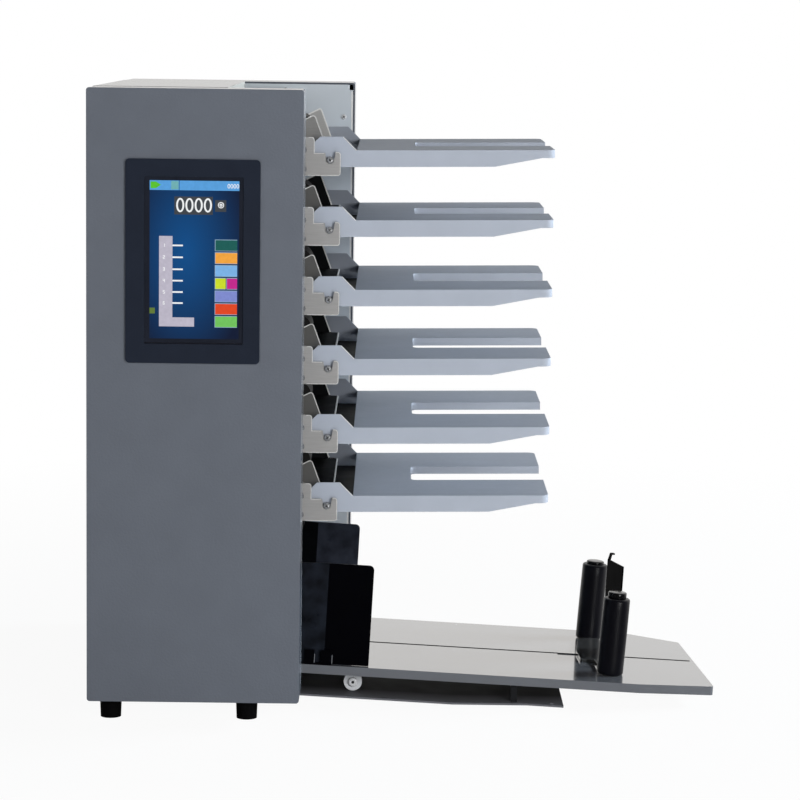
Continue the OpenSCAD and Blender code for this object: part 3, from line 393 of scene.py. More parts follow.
SURFACES = (
    # Covers, frame and feet
    cover_coat("cover_paint", "ZX"),
    # The top cover's faces that look along +X are painted lighter: a painted highlight on its flange
    cover_coat("top_paint", "Z").faced(srgb(186, 185, 180), "X", *LEVEL),
    smooth_paint("frame_paint", srgb(213, 221, 228), 0.5),
    rubber("foot_rubber", srgb(8, 8, 9)),
    # Screen and electrics
    plastic("bezel_plastic", srgb(34, 39, 50), 0.42, shine=0.06),
    Surface("screen_glass", srgb(26, 28, 36), 0.1).mottle(40, 0.08).uneven(30, 0.02),
    plastic("display", srgb(30, 32, 38), 0.6),
    plastic("board", srgb(24, 82, 46), 0.35),
    brushed("supply_case", srgb(170, 172, 174), 0.4),
    plastic("black_plastic", srgb(22, 22, 24), 0.45),
    plastic("switch_red", srgb(150, 30, 26), 0.25),
    # Brackets, feed heads and decks
    brushed("stainless", srgb(172, 170, 168), 0.42, metal=0.3),
    # Ear steel with painted light and shade: the lower bins' near ears darker and their far ears near
    # black,
    # where the bins above shade them, and the top bin's far ear lighter, as painted light
    brushed("ear_steel", srgb(142, 140, 137), 0.42, metal=0.3)
    .boxed(srgb(98, 97, 95), NEAR_EARS, LOW_EARS)
    .boxed(srgb(216, 216, 214), FAR_EARS, TOP_EARS)
    .boxed(srgb(30, 30, 32), FAR_EARS, LOW_EARS),
    smooth_paint("deck_paint", srgb(6, 6, 7), 0.45).shine(0.03),
    # Feeding and transport
    rubber("pad_rubber", srgb(60, 46, 38)),
    smooth_paint("chute_paint", srgb(30, 31, 34), 0.4),
    turned("bush_brass", srgb(200, 165, 95), 0.3),
    powder_coat("motor_case", srgb(44, 44, 47), 0.55),
    rubber("belt_rubber", srgb(20, 20, 20)),
    roller("feed_rubber", srgb(34, 32, 31), FEED_BAND),
    roller("drive_rubber", srgb(36, 36, 36), TYRE_BANDS),
    roller("pinch_plastic", srgb(222, 223, 224), TYRE_BANDS),
    # Bins
    powder_coat("bin_paint", srgb(165, 171, 182), 0.62, size=0.7, height=0.012)
    .set("Specular Tint", COOL_SHEEN),
    turned("screw_steel", srgb(126, 126, 128), 0.3, metal=0.4),
    # Receiving tray, ramp, guides and paper stop
    # Receiving tray's coat; the slot's upright walls are painted dark, as painted shade
    smooth_paint("stack_paint", srgb(103, 106, 112), 0.13)
    .set("Coat Weight", 0.92).set("Coat IOR", 1.55).set("Coat Tint", WARM_WHITE)
    .slot_walls_shaded(srgb(6, 6, 7), PAPER_Y - SLOT_REACH, PAPER_Y + SLOT_REACH),
    # The ramp goes over to near black further back: painted shade under the tray
    smooth_paint("ramp_paint", srgb(104, 105, 110), 0.4)
    .deepened(srgb(20, 20, 23), *RAMP_SHADE).shine(0.02),
    plastic("glide_plastic", srgb(22, 23, 26), 0.4),
    plastic("wheel_plastic", srgb(205, 207, 210), 0.4),
    # Black front guide; the faces leaning towards +X, its flare, get painted light that wanders with
    # noise
    smooth_paint("guide_paint", srgb(3, 3, 6), 0.3).faced(LIT_FLARE, "X", *LEANING).shine(0.08),
    # The rear guide is a lighter copy of the same black guide: painted light on its body, wandering with
    # noise, and near black on the faces leaning away from +X, as painted shade
    smooth_paint("guide_rear_lit_copy", srgb(44, 47, 57), 0.3)
    .noise_painted(*LIT_REAR_GUIDE).faced(srgb(4, 4, 6), "X", *LEANING_AWAY).shine(0.08),
    Surface("stop_steel", srgb(176, 176, 174), 0.14, metal=0.9).mottle(6, 0.03).uneven(12, 0.02),
    smooth_paint("stop_black", srgb(3, 3, 5), 0.45).shine(0.01),
    Surface("foam", srgb(8, 8, 14), 0.38)
    .mottle(1.2, 0.3).uneven(1, 0.06).grain(0.5, 0.02, detail=4).shine(0.35),
)
MATERIALS = {surface.name: surface for surface in SURFACES}
# Nodes that don't take the material of their slot's name
NODE_MATERIAL = {
    "tray_roller_front": "wheel_plastic",
    "tray_roller_rear": "wheel_plastic",
    "feed_heads": "ear_steel",
    "side_guide_rear": "guide_rear_lit_copy",
    "stop_back": "stop_black",
    "top_cover": "top_paint",
}

for part in frame["record"]["subparts"]:
    material = MATERIALS[NODE_MATERIAL.get(part["node"], part["material_slot"])]
    piece = NODES[part["node"]]
    piece.data.materials.clear()
    piece.data.materials.append(material.mat)


# Pieces

BLOCK_FACES = ((0, 1, 3, 2), (4, 6, 7, 5), (0, 4, 5, 1), (2, 3, 7, 6), (0, 2, 6, 4), (1, 5, 7, 3))


def face_outwards(mesh):
    """Turns every face of a closed mesh outwards."""
    skin = bmesh.new()
    skin.from_mesh(mesh)
    bmesh.ops.recalc_face_normals(skin, faces=skin.faces)
    skin.to_mesh(mesh)
    skin.free()


class Shape:
    """Gathers faces in machine millimetres and makes one piece of them."""

    def __init__(self, local=Matrix()):
        self.local, self.points, self.faces = local, [], []

    def add(self, points, faces):
        return self.join([self.local @ Vector(p) for p in points], faces)

    def join(self, points, faces):
        """Takes in points that have their final place already."""
        first = len(self.points)
        self.points += points
        self.faces += [tuple(first + i for i in face) for face in faces]
        return self

    def block(self, low, high):
        (x0, y0, z0), (x1, y1, z1) = low, high
        return self.add([(x, y, z) for x in (x0, x1) for y in (y0, y1) for z in (z0, z1)], BLOCK_FACES)

    def rings(self, loops, hollow=False):
        """Skins between loops of the same length; ends are filled, or the last loop meets the first."""
        count, n = len(loops), len(loops[0])
        faces = []
        for k in range(count if hollow else count - 1):
            here, after = k * n, (k + 1) % count * n
            for i in range(n):
                j = (i + 1) % n
                faces.append((here + i, here + j, after + j, after + i))
        if not hollow:
            faces.append(tuple(range(n - 1, -1, -1)))
            faces.append(tuple((count - 1) * n + i for i in range(n)))
        return self.add([p for loop in loops for p in loop], faces)

    def lathe(self, base, axis, profile, steps):
        """Turns a profile of radius and height pairs about an axis through base."""
        turn = Vector(axis).normalized().to_track_quat("Z", "Y").to_matrix()
        turns = [2 * math.pi * i / steps for i in range(steps)]
        return self.rings([
            [Vector(base) + turn @ Vector((r * math.cos(a), r * math.sin(a), h)) for a in turns]
            for r, h in profile
        ])

    def make(self, name, material, body, slot, smooth=False):
        mesh = bpy.data.meshes.new(name)
        mesh.from_pydata([at(*p) for p in self.points], [], self.faces)
        face_outwards(mesh)
        mesh.materials.append(material.mat)
        for face in mesh.polygons:
            face.use_smooth = smooth
        obj = bpy.data.objects.new(name, mesh)
        scene.collection.objects.link(obj)
        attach(obj, body)
        return obj


# Sloping frame of the receiving tray, with u along it, y, and w up from its top, and the paper stop's
# frame on it
TOWER_W, STACK_Z, STACK_TILT = 210.0, 41.0, math.radians(2.8)
STOP_U, STOP_TURN = 313.0, math.radians(3.7)
STACK = Matrix.Translation((TOWER_W, 0, STACK_Z)) @ Matrix.Rotation(STACK_TILT, 4, "Y")
STOP = STACK @ Matrix.Translation((STOP_U, PAPER_Y, 0)) @ Matrix.Rotation(STOP_TURN, 4, "Z")
# Play between pieces, the top bin's pivot with the pitch of the bins, the planes of the rear housing,
# and the top
GAP = 0.3
BINS, PIVOT_X, PIVOT_Z, PITCH, PIVOT_R = 6, 234.4, 556.4, 69.3, 3.3
REAR_FACE, REAR_BACK, TOP_Z = 391.5, 475.0, 626.5


def pivot_z(k):
    """Height of a bin's pivot, counted from 0 at the top."""
    return PIVOT_Z - PITCH * k


# Screen picture: places on it are in hundredths of its width and height, from the top left corner

SCREEN_LEFT, SCREEN_TOP, SCREEN_W, SCREEN_H = 61.7, 538.0, 86.7, 153.6
GLASS_Y, LAYER = -1.5, 0.05
# Middle of the blue ground's light spot, its reach across and down in metres, and a scale that leaves
# the depth out
SPOT, SPOT_W, SPOT_H, NO_DEPTH = (40, 45), 0.062, 0.115, 1e-6
# Plain plates: colour's name, colour, layer, and each plate's left, top, right and bottom
PLATES = {
    "bars": ("sky", (88, 160, 222), 1, ((0, 0, 32.6, 6.1), (33.2, 0, 100, 6.1))),
    "patch": ("mint", (112, 176, 178), 2, ((24, 0.4, 32.2, 5.6),)),
    "boxes": ("slate", (62, 66, 70), 1, ((27.5, 10.0, 70.5, 21.4), (73.0, 12.0, 85.5, 19.4))),
    "tower": ("lilac", (190, 185, 200), 1, ((10.6, 35.0, 25.6, 86.5), (10.6, 86.5, 50.0, 92.3))),
    "mark": ("olive", (96, 120, 50), 1, ((0, 80.5, 6.0, 84.2),)),
}
ARROW = ((1, 0.8), (7, 0.8), (12.5, 2.8), (7, 5), (1, 5))
# Rings: places across, place down, half width, half height and stroke in millimetres, and steps
RINGS = (
    ([34.1 + 10.3 * k for k in range(4)], 15.4, 3.9, 6.9, 1.7, 32),
    ([88.3 + 3.3 * k for k in range(4)], 3.2, 1.3, 2.2, 0.6, 20),
    ([79.6], 15.2, 3.0, 3.0, 0.8, 32),
    ([79.6], 15.2, 1.5, 1.5, 1.0, 32),
)
# Bin marks: places down, the line's two ends and half its thickness, then the figure's place, size
# and stroke
MARKS_DOWN = (40.9, 48.4, 56.0, 63.2, 70.4, 77.4)
MARK_LEFT, MARK_RIGHT, MARK_HALF = 25.6, 37.2, 0.5
FIGURE_AT, FIGURE_SIZE, FIGURE_STROKE = 16.0, 2.2, 0.6
STROKES = {"1": "bc", "2": "abged", "3": "abgcd", "4": "fgbc", "5": "afgcd", "6": "afgedc"}
# Keys: colour's name, colour, row, left and right; then the first row's top, the step, height and rim
KEY_LEFT, KEY_MIDDLE, KEY_RIGHT = 73.0, (85.2, 86.0), 98.0
KEYS = (
    ("pine", (24, 92, 84), 0, KEY_LEFT, KEY_RIGHT),
    ("orange", (244, 166, 60), 1, KEY_LEFT, KEY_RIGHT),
    ("azure", (124, 180, 232), 2, KEY_LEFT, KEY_RIGHT),
    ("lime", (206, 224, 36), 3, KEY_LEFT, KEY_MIDDLE[0]),
    ("magenta", (198, 36, 142), 3, KEY_MIDDLE[1], KEY_RIGHT),
    ("violet", (128, 140, 208), 4, KEY_LEFT, KEY_RIGHT),
    ("red", (226, 70, 24), 5, KEY_LEFT, KEY_RIGHT),
    ("green", (114, 198, 92), 6, KEY_LEFT, KEY_RIGHT),
)
KEY_TOP, KEY_STEP, KEY_H = 36.9, 8.07, 7.0
RIM_LEFT, RIM_TOP, RIM_LOW = 0.6, 0.35, 0.3
# Edge of the glass round the picture: its outer left and right sides, and its width above and below
EDGE_LEFT, EDGE_RIGHT, EDGE_W = -6, 104.6, 2.4


def on_screen(px, py):
    return SCREEN_LEFT + px / 100 * SCREEN_W, SCREEN_TOP - py / 100 * SCREEN_H


def layer_depth(layer):
    """The back and the front of a layer of the picture."""
    return GLASS_Y - LAYER * layer, GLASS_Y - LAYER * (layer + 1)


def lit(name, colour):
    """A lit part of the display."""
    return Surface("screen_" + name, srgb(*colour), 0.35, bevel=0).mottle(3, 0.06).glow(0.95)


def show(shape, name, material):
    return shape.make("screen_" + name, material, "frame", "display")


def screen_plate(shape, left, top, right, bottom, layer):
    x0, z1 = on_screen(left, top)
    x1, z0 = on_screen(right, bottom)
    back, front = layer_depth(layer)
    return shape.block((x0, front, z0), (x1, back, z1))


def screen_ring(shape, px, py, half_w, half_h, stroke, layer, steps):
    """An upright oval ring, such as the figure 0; its sizes are in millimetres."""
    x, z = on_screen(px, py)
    turns = [2 * math.pi * i / steps for i in range(steps)]

    def loop(inset, y):
        w, h = half_w - inset, half_h - inset
        return [(x + w * math.cos(a), y, z + h * math.sin(a)) for a in turns]
    back, front = layer_depth(layer)
    loops = [loop(stroke, back), loop(stroke, front), loop(0, front), loop(0, back)]
    return shape.rings(loops, hollow=True)


def screen_digit(shape, digit, px, py, layer):
    """A small figure of straight strokes."""
    half, t = FIGURE_SIZE / 2, FIGURE_STROKE
    left, right, top, low = px - half, px + half, py - half, py + half
    th = t * SCREEN_W / SCREEN_H
    bars = {
        "a": (left, top, right, top + th),
        "b": (right - t, top, right, py),
        "c": (right - t, py, right, low),
        "d": (left, low - th, right, low),
        "e": (left, py, left + t, low),
        "f": (left, top, left + t, py),
        "g": (left, py - th / 2, right, py + th / 2),
    }
    for bar in STROKES[digit]:
        screen_plate(shape, *bars[bar], layer)


def make_ground():
    """The blue ground, lightest left of the middle."""
    ground = Surface("screen_blue", srgb(0, 76, 132), 0.3, bevel=0)
    x, z = on_screen(*SPOT)
    middle = at(x, 0, z)
    fall = ground.add("ShaderNodeTexGradient")
    fall.gradient_type = "SPHERICAL"
    scale = (1 / SPOT_W, NO_DEPTH, 1 / SPOT_H)
    offset = (-middle.x / SPOT_W, 0, -middle.z / SPOT_H)
    ground.link(ground.moved(scale, offset), fall.inputs["Vector"])
    ground.paint(ground.blend(fall.outputs["Fac"], srgb(2, 16, 46), srgb(0, 78, 140))).glow(0.9)
    show(screen_plate(Shape(), 0, 0, 100, 100, 0), "ground", ground)


def make_plates(name):
    colour_name, colour, layer, plates = PLATES[name]
    shape = Shape()
    for plate in plates:
        screen_plate(shape, *plate, layer)
    show(shape, name, lit(colour_name, colour))


def make_arrow():
    tips = [on_screen(*tip) for tip in ARROW]
    arrow = Shape().rings([[(x, y, z) for x, z in tips] for y in layer_depth(2)])
    show(arrow, "arrow", lit("leaf", (92, 196, 40)))


def make_figures():
    """Zeros, a round mark and the numbered lines of the bins."""
    figures = Shape()
    for across, down, half_w, half_h, stroke, steps in RINGS:
        for px in across:
            screen_ring(figures, px, down, half_w, half_h, stroke, 2, steps)
    for k, down in enumerate(MARKS_DOWN):
        screen_plate(figures, MARK_LEFT, down - MARK_HALF, MARK_RIGHT, down + MARK_HALF, 1)
        screen_digit(figures, str(k + 1), FIGURE_AT, down, 2)
    show(figures, "figures", lit("white", (246, 248, 250)))


def make_keys():
    rims = Shape()
    for name, colour, row, left, right in KEYS:
        top = KEY_TOP + KEY_STEP * row
        key = screen_plate(Shape(), left + RIM_LEFT, top + RIM_TOP, right, top + KEY_H, 2)
        show(key, "key_" + name, lit(name, colour))
        screen_plate(rims, left, top, right, top + KEY_H + RIM_LOW, 1)
    show(rims, "rims", lit("rim", (150, 180, 205)))


def make_glass_edge():
    edge = Shape()
    for left, right in ((EDGE_LEFT, 0), (100, EDGE_RIGHT)):
        screen_plate(edge, left, -EDGE_W, right, 100 + EDGE_W, 0)
    for top, bottom in ((-EDGE_W, 0), (100, 100 + EDGE_W)):
        screen_plate(edge, 0, top, 100, bottom, 0)
    rim = Surface("glass_edge", srgb(30, 33, 42), 0.25, bevel=0).mottle(30, 0.1).shine(0.08)
    show(edge, "edge", rim)


make_ground()
make_plates("bars")
make_plates("patch")
make_arrow()
make_plates("boxes")
make_figures()
make_plates("tower")
make_plates("mark")
make_keys()
make_glass_edge()


# Foam posts of the paper stop, with their caps

POST_R, POST_HALF, POST_H = 13.6, 85.0, 86.5
POST_LEAN = Matrix.Rotation(math.radians(1.5), 4, "Y")
FOAM_FOOT, FOAM_HEAD, FOAM_BULGE, FOAM_RINGS, FOAM_STEPS = 3, 2, 0.15, 8, 56
CAP_R, CAP_SUNK, CAP_STEPS = 9.5, 2, 48
cap_paint = Surface("cap_plastic", srgb(8, 8, 10), 0.16, bevel=0.8).mottle(4, 0.2).uneven(3, 0.05)


def foam_profile(high):
    """A sleeve with rounded ends, slightly thicker in the middle."""
    stop = high - FOAM_HEAD
    shares = [k / FOAM_RINGS for k in range(1, FOAM_RINGS)]
    foot = [(POST_R - 1.2, 0.4), (POST_R - 0.3, 1.2), (POST_R, FOAM_FOOT)]
    middle = [
        (POST_R + FOAM_BULGE * math.sin(math.pi * share), FOAM_FOOT + (stop - FOAM_FOOT) * share)
        for share in shares
    ]
    head = [(POST_R, stop), (POST_R - 0.4, high - 0.7), (POST_R - 1.3, high)]
    return foot + middle + head


def cap_profile(high):
    """A lid with a rounded rim."""
    rim = [(CAP_R, high - 1), (CAP_R - 0.3, high - 0.4), (CAP_R - 1, high)]
    return [(CAP_R, -CAP_SUNK)] + rim + [(CAP_R - 4, high + 0.1)]


def make_post(name, side, cap):
    local = STOP @ Matrix.Translation((0, side * POST_HALF, GAP)) @ POST_LEAN
    up, sleeve = (0, 0, 1), POST_H - cap
    foam = Shape(local).lathe((0, 0, 0), up, foam_profile(sleeve), FOAM_STEPS)
    piece = foam.make("foam_post_" + name, MATERIALS["foam"], "stop", "foam", True)
    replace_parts(piece, "stop_posts")
    lid = Shape(local).lathe((0, 0, sleeve), up, cap_profile(cap), CAP_STEPS)
    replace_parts(lid.make("post_cap_" + name, cap_paint, "stop", "foam", True), "stop_posts")


make_post("near", -1, 6.5)
make_post("far", 1, 3.5)


# Fasteners

bright = turned("bright_steel", srgb(238, 239, 240), 0.22, metal=0.2)
pivot_steel = turned("pivot_steel", srgb(172, 173, 174), 0.2, metal=0.5)
zinc = turned("zinc", srgb(225, 226, 228), 0.3, metal=0.2)
# Black for the cross recesses, the latches' slots and the axle's sockets is painted shade: blocks that
# stand a little out of the solid heads in place of holes; it also colours the top seam
recess = Surface("recess_black", srgb(24, 24, 26), 0.6, bevel=0).mottle(1, 0.2)
OUT_LEFT, OUT_FRONT, OUT_BACK = (-1, 0, 0), (0, -1, 0), (0, 1, 0)
# A pan head and its cross recess, in shares of the head's radius
DOME, DOME_STEPS = ((1.0, 0.0), (1.0, 0.25), (0.86, 0.45), (0.6, 0.58), (0.3, 0.63)), 28
CROSS_LONG, CROSS_THIN, CROSS_LOW, CROSS_HIGH, CROSS_TURN = 0.55, 0.11, 0.5, 0.645, 0.6
# Cover screws on the back and on the left, the rear plate's screw, and the inlet's two screws
SCREWS_Z, BACK_SCREWS_X, LEFT_SCREWS_Y, COVER_SCREW_R = (70, 324, 580), (14, 240), (30, 433), 3.4
PLATE_SCREW, PLATE_SCREW_R = (242, REAR_FACE, 589), 3.0
INLET_X, INLET_Z, INLET_PROUD = 57, 80, 2
INLET_SCREW_X, INLET_SCREW_Z, INLET_SCREW_R = 13, 24, 1.6


def screw_head(heads, slots, spot, axis, r):
    """A pan head with a cross recess; axis points out of the surface."""
    heads.lathe(spot, axis, [(r * a, r * b) for a, b in DOME], DOME_STEPS)
    turn = Vector(axis).normalized().to_track_quat("Z", "Y").to_matrix().to_4x4()
    mark = Shape(slots.local @ Matrix.Translation(spot) @ turn @ Matrix.Rotation(CROSS_TURN, 4, "Z"))
    long, thin, low, high = (share * r for share in (CROSS_LONG, CROSS_THIN, CROSS_LOW, CROSS_HIGH))
    # The cross is a black block reaching just over the dome: painted shade for the recess
    mark.block((-long, -thin, low), (long, thin, high))
    mark.block((-thin, -long, low), (thin, long, high))
    slots.join(mark.points, mark.faces)


def make_screws():
    heads, slots = Shape(), Shape()
    screw_head(heads, slots, PLATE_SCREW, OUT_FRONT, PLATE_SCREW_R)
    for z in SCREWS_Z:
        for x in BACK_SCREWS_X:
            screw_head(heads, slots, (x, REAR_BACK, z), OUT_BACK, COVER_SCREW_R)
        for y in LEFT_SCREWS_Y:
            screw_head(heads, slots, (0, y, z), OUT_LEFT, COVER_SCREW_R)
    for side in (-1, 1):
        x, z = INLET_X + side * INLET_SCREW_X, INLET_Z + side * INLET_SCREW_Z
        screw_head(heads, slots, (x, REAR_BACK + INLET_PROUD, z), OUT_BACK, INLET_SCREW_R)
    heads.make("cover_screws", bright, "frame", "screw_steel", True)
    slots.make("screw_slots", recess, "frame", "screw_steel")


def make_pivot_heads():
    """Domed heads on the outer ends of each bin's two pivots."""
    for k in range(BINS):
        number = k + 1
        body = "bin_%d" % number
        low, high = machine_box("tray_pivots_%d" % number)
        heads, slots = Shape(), Shape()
        for y, out in ((low.y, OUT_FRONT), (high.y, OUT_BACK)):
            screw_head(heads, slots, (PIVOT_X, y, pivot_z(k)), out, PIVOT_R)
        heads.make("pivot_heads_%d" % number, pivot_steel, body, "screw_steel", True)
        slots.make("pivot_slots_%d" % number, recess, body, "screw_steel")


LATCH_Y, LATCHES_Z, LATCH_R, LATCH_STEPS = 82, (120, 530), 9, 36
LATCH_PROFILE = ((LATCH_R, 0), (LATCH_R, 1.2), (LATCH_R - 0.6, 1.9), (LATCH_R - 4, 2.2))
LATCH_SLOT_HALF, LATCH_SLOT_W, LATCH_SLOT_X = 6, 2, (-2.35, -1.8)


def make_latches():
    """Two quarter-turn fasteners that hold the side door's free edge."""
    heads, slots = Shape(), Shape()
    x0, x1 = LATCH_SLOT_X
    for z in LATCHES_Z:
        heads.lathe((0, LATCH_Y, z), OUT_LEFT, LATCH_PROFILE, LATCH_STEPS)
        slots.block(
            (x0, LATCH_Y - LATCH_SLOT_HALF, z - LATCH_SLOT_W / 2),
            (x1, LATCH_Y + LATCH_SLOT_HALF, z + LATCH_SLOT_W / 2),
        )
    heads.make("door_latches", bright, "door", "screw_steel", True)
    slots.make("latch_slots", recess, "door", "screw_steel")


# The tray's axle sits a wheel's radius and the play above the ramp
RAMP_DROP, WHEEL_R, AXLE_U, AXLE_HALF = 31.4, 9.4, 53.0, 99.3
AXLE_W = -(RAMP_DROP - WHEEL_R - GAP)
AXLE_HEAD_R, AXLE_STEPS, SOCKET_R, SOCKET_SIDES = 4.6, 32, 1.7, 6
AXLE_HEAD = ((AXLE_HEAD_R, 0), (AXLE_HEAD_R, 0.3), (AXLE_HEAD_R - 0.6, 0.9), (3, 1.0))
AXLE_SOCKET = ((SOCKET_R, 0.8), (SOCKET_R, 1.06))


def make_axle_ends():
    """Socket heads on the two ends of the tray's axle."""
    heads, sockets = Shape(STACK), Shape(STACK)
    for y, out in ((PAPER_Y - AXLE_HALF, OUT_FRONT), (PAPER_Y + AXLE_HALF, OUT_BACK)):
        heads.lathe((AXLE_U, y, AXLE_W), out, AXLE_HEAD, AXLE_STEPS)
        sockets.lathe((AXLE_U, y, AXLE_W), out, AXLE_SOCKET, SOCKET_SIDES)
    heads.make("axle_heads", zinc, "stack", "screw_steel", True)
    sockets.make("axle_sockets", recess, "stack", "screw_steel")


make_screws()
make_pivot_heads()
make_latches()
make_axle_ends()


# Painted highlights: light strips along the edges of the sheets

edge_highlight = turned("painted_edge_highlight", srgb(222, 221, 218), 0.35, metal=0.2)
tab_edge_grey = turned("tab_edge_light_grey", srgb(132, 134, 138), 0.35, metal=0.2)
white = smooth_paint("painted_white_highlight", srgb(253, 253, 251), 0.4)
# Radius of bent and cut corners, how far a strip stands out and reaches in, and how sharp a corner's
# mitre may be
BEND_R, PROUD, SUNK, MITRE = 3.0, 0.15, 0.05, 0.5


def ribbon(shape, path, face_y, width):
    """A strip on a face, along a path of x and z pairs, with its width on the path's left."""
    points = [Vector(p) for p in path]
    front, back = face_y - PROUD, face_y + SUNK
    loops = []
    for i, point in enumerate(points):
        sides = [j for j in (i - 1, i) if 0 <= j < len(points) - 1]
        ways = [(points[j + 1] - points[j]).normalized() for j in sides]
        way = sum(ways, Vector((0, 0))).normalized()
        left, first_left = Vector((-way.y, way.x)), Vector((-ways[0].y, ways[0].x))
        inner = point + left * (width / max(MITRE, left.dot(first_left)))
        corners = ((point, front), (inner, front), (inner, back), (point, back))
        loops.append([(p.x, y, p.y) for p, y in corners])
    return shape.rings(loops)


def rounded(path, radii, steps=6):
    """A path with its corners rounded, each by its own radius."""
    points = [Vector(p) for p in path]
    out = points[:1]
    for before, corner, after, r in zip(points, points[1:], points[2:], radii):
        back, on = (before - corner).normalized(), (after - corner).normalized()
        half = back.angle(on) / 2
        middle = corner + (back + on).normalized() * r / math.sin(half)
        start, stop = (corner + way * r / math.tan(half) for way in (back, on))
        for k in range(steps + 1 if r else 1):
            out.append(middle + (start.lerp(stop, k / steps) - middle).normalized() * r)
    return out + points[-1:]


# Right edge of each deck's floor, measured from the bin's pivot, where a light strip is a painted
# highlight
DECK_UP, DECK_T, DECK_HALF, DECK_EDGE_X, DECK_PROUD = 9.4, 1.5, 102, (4.6, 6.0), 0.12


def make_deck_edges():
    trims = Shape()
    x0, x1 = (PIVOT_X + x for x in DECK_EDGE_X)
    for k in range(BINS):
        z = pivot_z(k) + DECK_UP
        trims.block((x0, PAPER_Y - DECK_HALF, z - DECK_T), (x1, PAPER_Y + DECK_HALF, z + DECK_PROUD))
    trims.make("deck_edges", edge_highlight, "frame", "deck_paint")


# Front faces of hook brackets, feed ears and tray hooks, and their outlines from the bin's pivot
SHEET_T = 1.5
BRACKET_Y, EAR_Y, TRAY_Y = 66.0, 82.0, 70.0
FAR_EAR_Y = machine_box("feed_heads")[1].y - SHEET_T
BRACKET_EDGES = (
    rounded([(-21.5, -15.6), (10.4, -15.6), (10.4, 8.1), (5.6, 8.1)], [BEND_R, BEND_R]),
    rounded([(-6, 6.9), (-15.6, 6.9), (-15.6, 22.5), (-21.5, 22.5)], [0, BEND_R]),
)
EAR_EDGE = rounded([(-3.0, 9.2), (-16, 44.6), (-52, 26.6)], [BEND_R])
HOOK_EDGE = ((26.2, 9.5), (13.3, 22.9))
BRACKET_EDGE_W, EAR_EDGE_W, FAR_EAR_EDGE_W, HOOK_EDGE_W = 0.8, 0.9, 1.5, 0.8
BIN_SLOPE = Matrix.Rotation(math.radians(-0.85), 4, "Y")


def make_sheet_edges():
    # Light strips along the brackets', ears' and hooks' outlines are painted highlights; the far ears'
    # are white
    edges, far_edges = Shape(), Shape()
    for k in range(BINS):
        pivot = Matrix.Translation((PIVOT_X, 0, pivot_z(k)))
        edges.local = far_edges.local = pivot
        for path in BRACKET_EDGES:
            ribbon(edges, path, BRACKET_Y, BRACKET_EDGE_W)
        ribbon(edges, EAR_EDGE, EAR_Y, EAR_EDGE_W)
        ribbon(far_edges, EAR_EDGE, FAR_EAR_Y, FAR_EAR_EDGE_W)
        hook = ribbon(Shape(pivot @ BIN_SLOPE), HOOK_EDGE, TRAY_Y, HOOK_EDGE_W)
        hook.make("hook_edge_%d" % (k + 1), edge_highlight, "bin_%d" % (k + 1), "bin_paint")
    edges.make("sheet_edges", edge_highlight, "frame", "stainless")
    far_edges.make("far_ear_edges", white, "frame", "stainless")


# Lighter strips on the right edges of the side guides' two tabs, in the tray's frame
TABS_U, REAR_TABS_SHIFT, TAB_Y = (12.0, 30.0), -17.5, (92.9, 94.4)
TAB_EDGE_W, TAB_EDGE_LOW, TAB_EDGE_HIGH = 0.7, 2.2, 11.0


def make_guide_edges(name, mirror, shift):
    tabs = Shape(STACK)
    y0, y1 = sorted(PAPER_Y + mirror * (y - PAPER_Y) for y in TAB_Y)
    for u in TABS_U:
        tabs.block((u + shift, y0, TAB_EDGE_LOW), (u + shift + TAB_EDGE_W, y1, TAB_EDGE_HIGH))
    tabs.make("guide_edges_" + name, tab_edge_grey, "guide_" + name, "guide_paint")


make_deck_edges()
make_sheet_edges()
make_guide_edges("front", 1, 0.0)
make_guide_edges("rear", -1, REAR_TABS_SHIFT)


# Thin trim: sealing bead, the plate edge's painted highlight, and painted shade along the slot

SEAM_W, SEAM_PROUD, SEAM_DEEP = 1.2, 0.22, 0.3
LIGHT_W, LIGHT_IN, LIGHT_PROUD, CORNER_CUT = 1.9, 0.1, 0.05, 9.5
SLOT_FROM, SLOT_TO, SLOT_HALF = 24.0, 410.5, 1.5
SLOT_SHADE_W, SLOT_SHADE_PROUD, SLOT_SHADE_DEEP = 0.7, 0.06, 0.2


def make_top_seam():
    """Sealing bead in front of the top cover."""
    low, high = machine_box("top_cover")
    seam = Shape().block(
        (low.x + SEAM_W, low.y - SEAM_W / 2, TOP_Z - SEAM_DEEP),
        (high.x, low.y + SEAM_W / 2, TOP_Z + SEAM_PROUD),
    )
    seam.make("top_seam", recess, "frame", "cover_paint")


def make_plate_edge():
    """Light strip on the rear frame plate's right edge, below its notched corner: a painted highlight.
    """
    low, high = machine_box("rear_frame")
    right = high.x - LIGHT_IN
    light = Shape().block(
        (right - LIGHT_W, REAR_FACE - LIGHT_PROUD, low.z),
        (right, REAR_FACE + LIGHT_PROUD, TOP_Z - CORNER_CUT),
    )
    light.make("plate_edge", white, "frame", "frame_paint")


def make_slot_shade():
    """Dark strips along both edges of the paper stop's slot: painted shade that widens the slot's dark
    line.
    """
    shade_strips = Shape(STACK)
    for side in (-1, 1):
        y0, y1 = sorted(PAPER_Y + side * (SLOT_HALF + w) for w in (0, SLOT_SHADE_W))
        shade_strips.block((SLOT_FROM, y0, -SLOT_SHADE_DEEP), (SLOT_TO, y1, SLOT_SHADE_PROUD))
    shade_strips.make("slot_shade_strips", MATERIALS["stop_black"], "stack", "stack_paint")


make_top_seam()
make_plate_edge()
make_slot_shade()


# Power inlet: contact sleeves

CONTACT_STEP, CONTACT_Z, CONTACT_W, CONTACT_H = 7, 66.0, 2.2, 4.2
CONTACT_DEEP, CONTACT_FRONT = 13.5, 4.8


